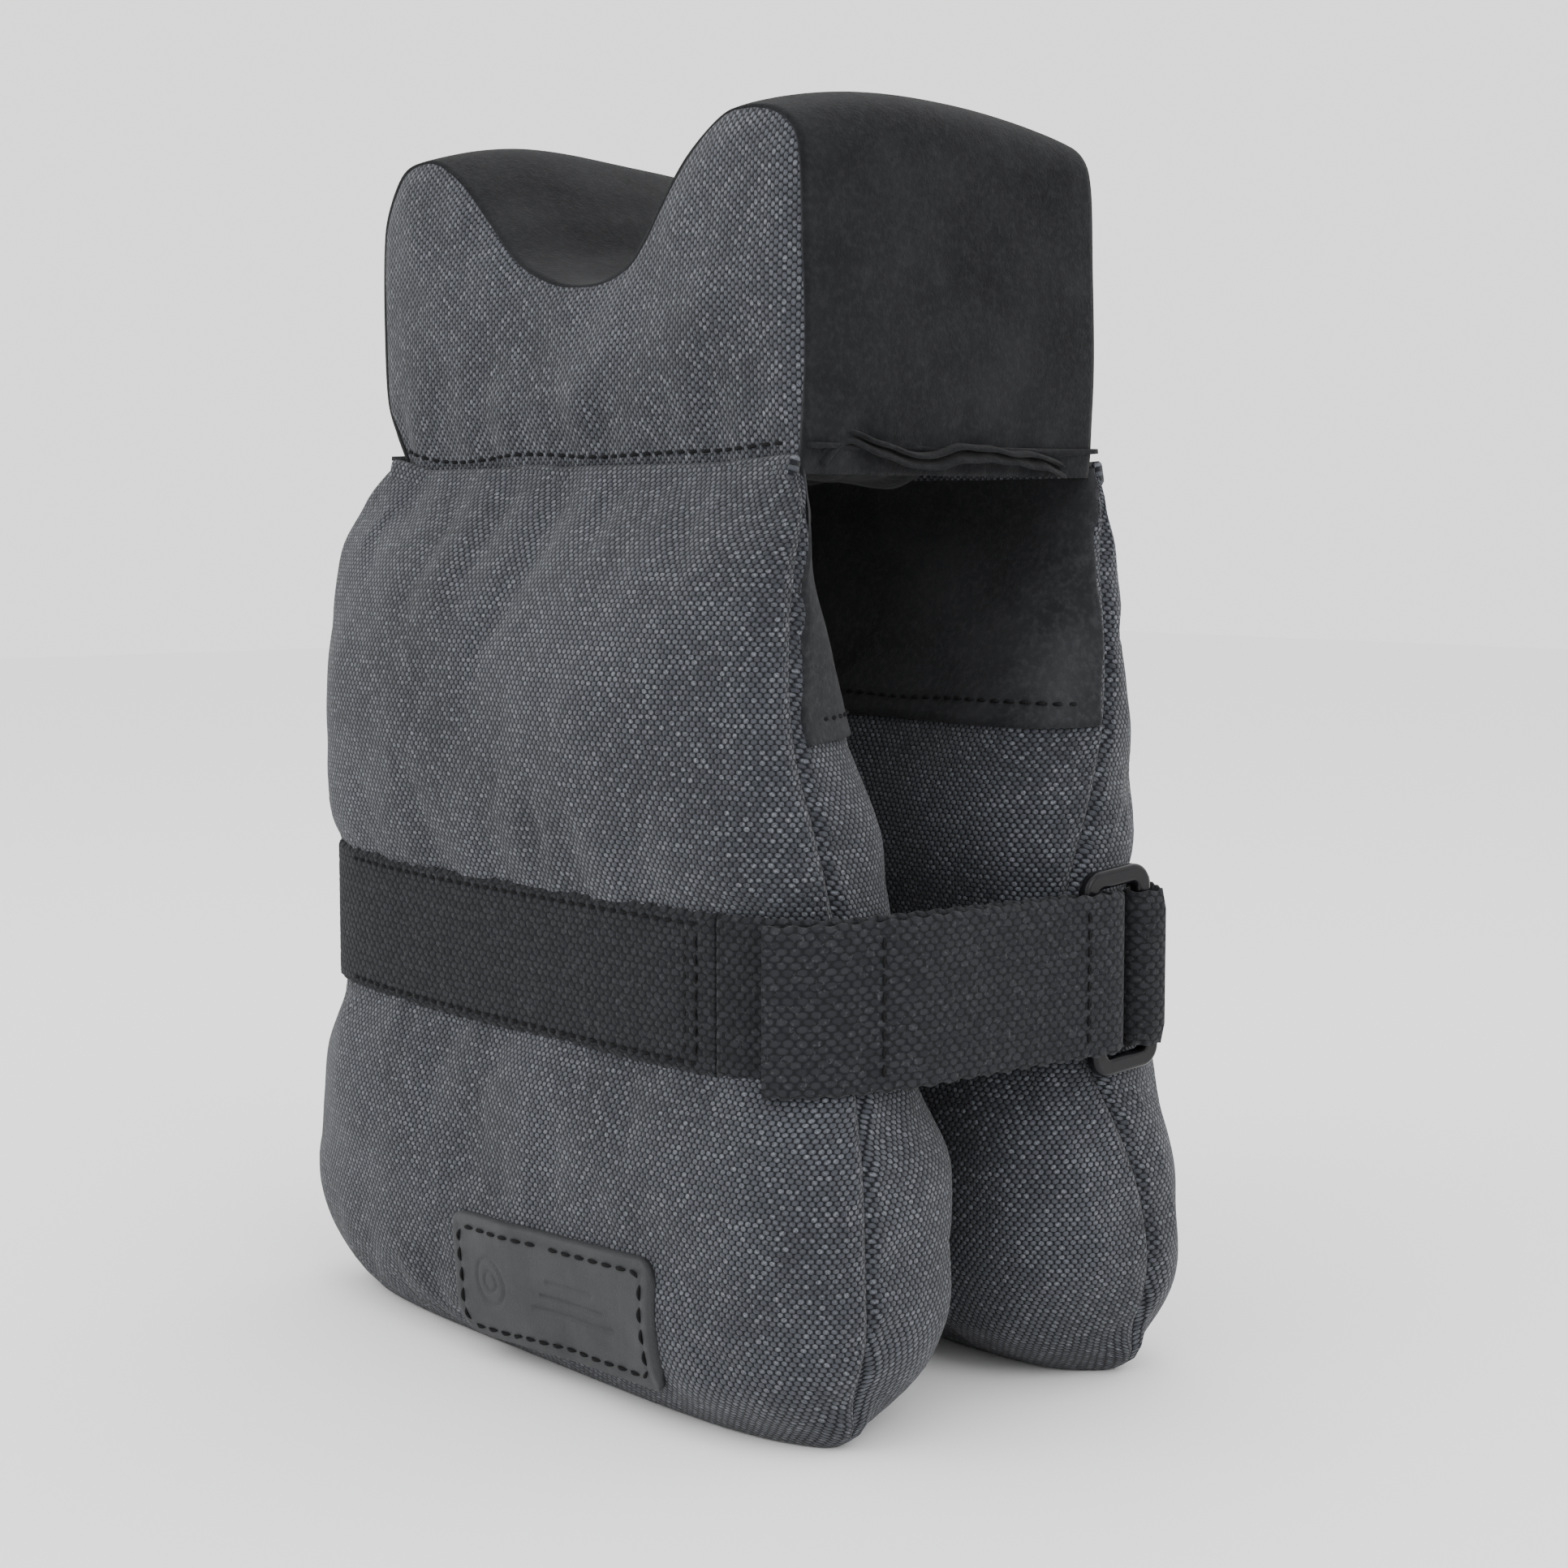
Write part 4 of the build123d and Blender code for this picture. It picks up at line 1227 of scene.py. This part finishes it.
def label_height(u, v):
    """How far the leather stands off the leg: a round rim, a sewing groove and a pressed mark."""
    half_u, half_v = LABEL_SIZE.x / 2, LABEL_SIZE.z / 2
    edge = np.minimum(half_u - np.abs(u), half_v - np.abs(v))
    rim = np.sqrt(np.clip(1 - (1 - np.clip(edge / (1.0 * MM), 0, 1)) ** 2, 0, 1))
    groove = bump(edge, 3.0 * MM, 0.55 * MM) * 0.22 * MM
    from_mark = np.hypot(u + LABEL_SIZE.x * 0.30, v)
    mark = bump(from_mark, 5.0 * MM, 0.45 * MM) + bump(from_mark, 2.2 * MM, 0.4 * MM)
    for k in range(3):
        bar = 1 - smooth(np.abs(v - (k - 1) * 3.2 * MM), 0.35 * MM, 0.65 * MM)
        half_bar = (14 - 3 * k) * MM
        mark = mark + bar * (1 - smooth(np.abs(u - 7 * MM), half_bar, half_bar + 0.4 * MM))
    return 0.25 * MM + rim * LABEL_THICKNESS - groove - np.clip(mark, 0, 1) * 0.34 * MM


def label_leather():
    """A rounded rectangle of thick leather that follows the leg."""
    columns, rows = 150, 66
    straight_u, straight_v = LABEL_SIZE.x / 2 - LABEL_CORNER, LABEL_SIZE.z / 2 - LABEL_CORNER
    u, v = np.linspace(-0.5, 0.5, columns) * LABEL_SIZE.x, np.linspace(-0.5, 0.5, rows) * LABEL_SIZE.z
    u, v = np.meshgrid(u, v)
    over_u, over_v = np.abs(u) - straight_u, np.abs(v) - straight_v
    corner = (over_u > 0) & (over_v > 0)
    squeeze = np.maximum(over_u, over_v) / np.maximum(np.hypot(over_u, over_v), 1e-9)
    u = np.where(corner, np.sign(u) * (straight_u + over_u * squeeze), u)
    v = np.where(corner, np.sign(v) * (straight_v + over_v * squeeze), v)
    x, z = label_place(u, v)
    top, base = [], []
    for px, pz, height in zip(x.ravel(), z.ravel(), label_height(u, v).ravel()):
        place, normal = on_leg("front", "outer", px, pz)
        top.append(place + normal * height)
        base.append(place - normal * 0.3 * MM)
    count = rows * columns
    sheet = grid_faces(rows, columns)
    faces = sheet + [tuple(i + count for i in face)[::-1] for face in sheet]
    ids = np.arange(count).reshape(rows, columns)
    around = [*ids[0], *ids[1:, -1], *ids[-1, -2::-1], *ids[-2:0:-1, 0]]
    for a, b in zip(around, around[1:] + around[:1]):
        faces.append((a, b, b + count, a + count))
    obj = make_mesh("slate_label", top + base, faces)
    recalculate(obj)
    return obj


def label_thread():
    """The thread in the label's groove."""
    inset = bend = 3.0 * MM
    a, b = LABEL_SIZE.x / 2 - inset, LABEL_SIZE.z / 2 - inset
    route = rounded_route([(0, b), (a, b), (a, -b), (-a, -b), (-a, b), (0, b)], bend, 0.5 * MM)
    path, normals = [], []
    for u, v in route[:-1]:
        place, normal = on_leg("front", "outer", *label_place(u, v))
        path.append(place + normal * (0.15 * MM + LABEL_THICKNESS))
        normals.append(normal)
    return stitches("label_thread", path, normals, 4.5 * MM, 3.2 * MM, radius=0.40 * MM)


finish_piece(label_leather(), LEATHER, ["leather_label"], "saddle")
finish_piece(label_thread(), THREAD, ["label_stitches"], "saddle")


# ---- floor, light and camera
def studio():
    """A pale floor under soft light from all round, with three area lamps."""
    bpy.ops.mesh.primitive_plane_add(size=6)
    floor = bpy.context.object
    floor.name = "studio_floor"
    paper = bpy.data.materials.new("pale_floor")
    paper.use_nodes = True
    matt = paper.node_tree.nodes["Principled BSDF"].inputs
    matt["Base Color"].default_value = (0.93, 0.93, 0.93, 1)
    matt["Roughness"].default_value = 0.9
    floor.data.materials.append(paper)

    world = bpy.data.worlds.new("studio")
    bpy.context.scene.world = world
    world.use_nodes = True
    sky = world.node_tree.nodes["Background"].inputs
    sky["Color"].default_value = (1, 1, 1, 1)
    sky["Strength"].default_value = 1.75

    for name, place, energy, size in (
        ("key", (-0.25, -1.05, 0.95), 6.0, 0.9),
        ("fill", (1.15, -0.10, 0.80), 6.0, 0.9),
        ("top", (0.0, 0.1, 1.35), 3.5, 1.0),
    ):
        data = bpy.data.lights.new(name, "AREA")
        data.energy, data.size = energy, size
        lamp = add_object(name, data)
        lamp.location = place
        lamp.rotation_euler = (Vector((0, 0, 0.12)) - lamp.location).to_track_quat("-Z", "Y").to_euler()


def camera():
    """Looks from the strap end and a little above, with the front leg nearer."""
    azimuth, pitch, distance = math.radians(50.17), math.radians(5.41), 0.6138
    lens_share = 1.7557
    data = bpy.data.cameras.new("camera")
    data.sensor_width = 36.0
    data.lens = lens_share * data.sensor_width
    data.clip_start = 0.01
    cam = add_object("camera", data)
    right = Vector((math.cos(azimuth), math.sin(azimuth), 0))
    back = Vector((math.sin(azimuth), -math.cos(azimuth), 0)) * math.cos(pitch)
    back.z = math.sin(pitch)
    cam.location = Vector((0, 0, 0.12167)) + right * 0.01273 + back * distance
    cam.rotation_euler = (-back).to_track_quat("-Z", "Y").to_euler()
    bpy.context.scene.camera = cam


studio()
camera()
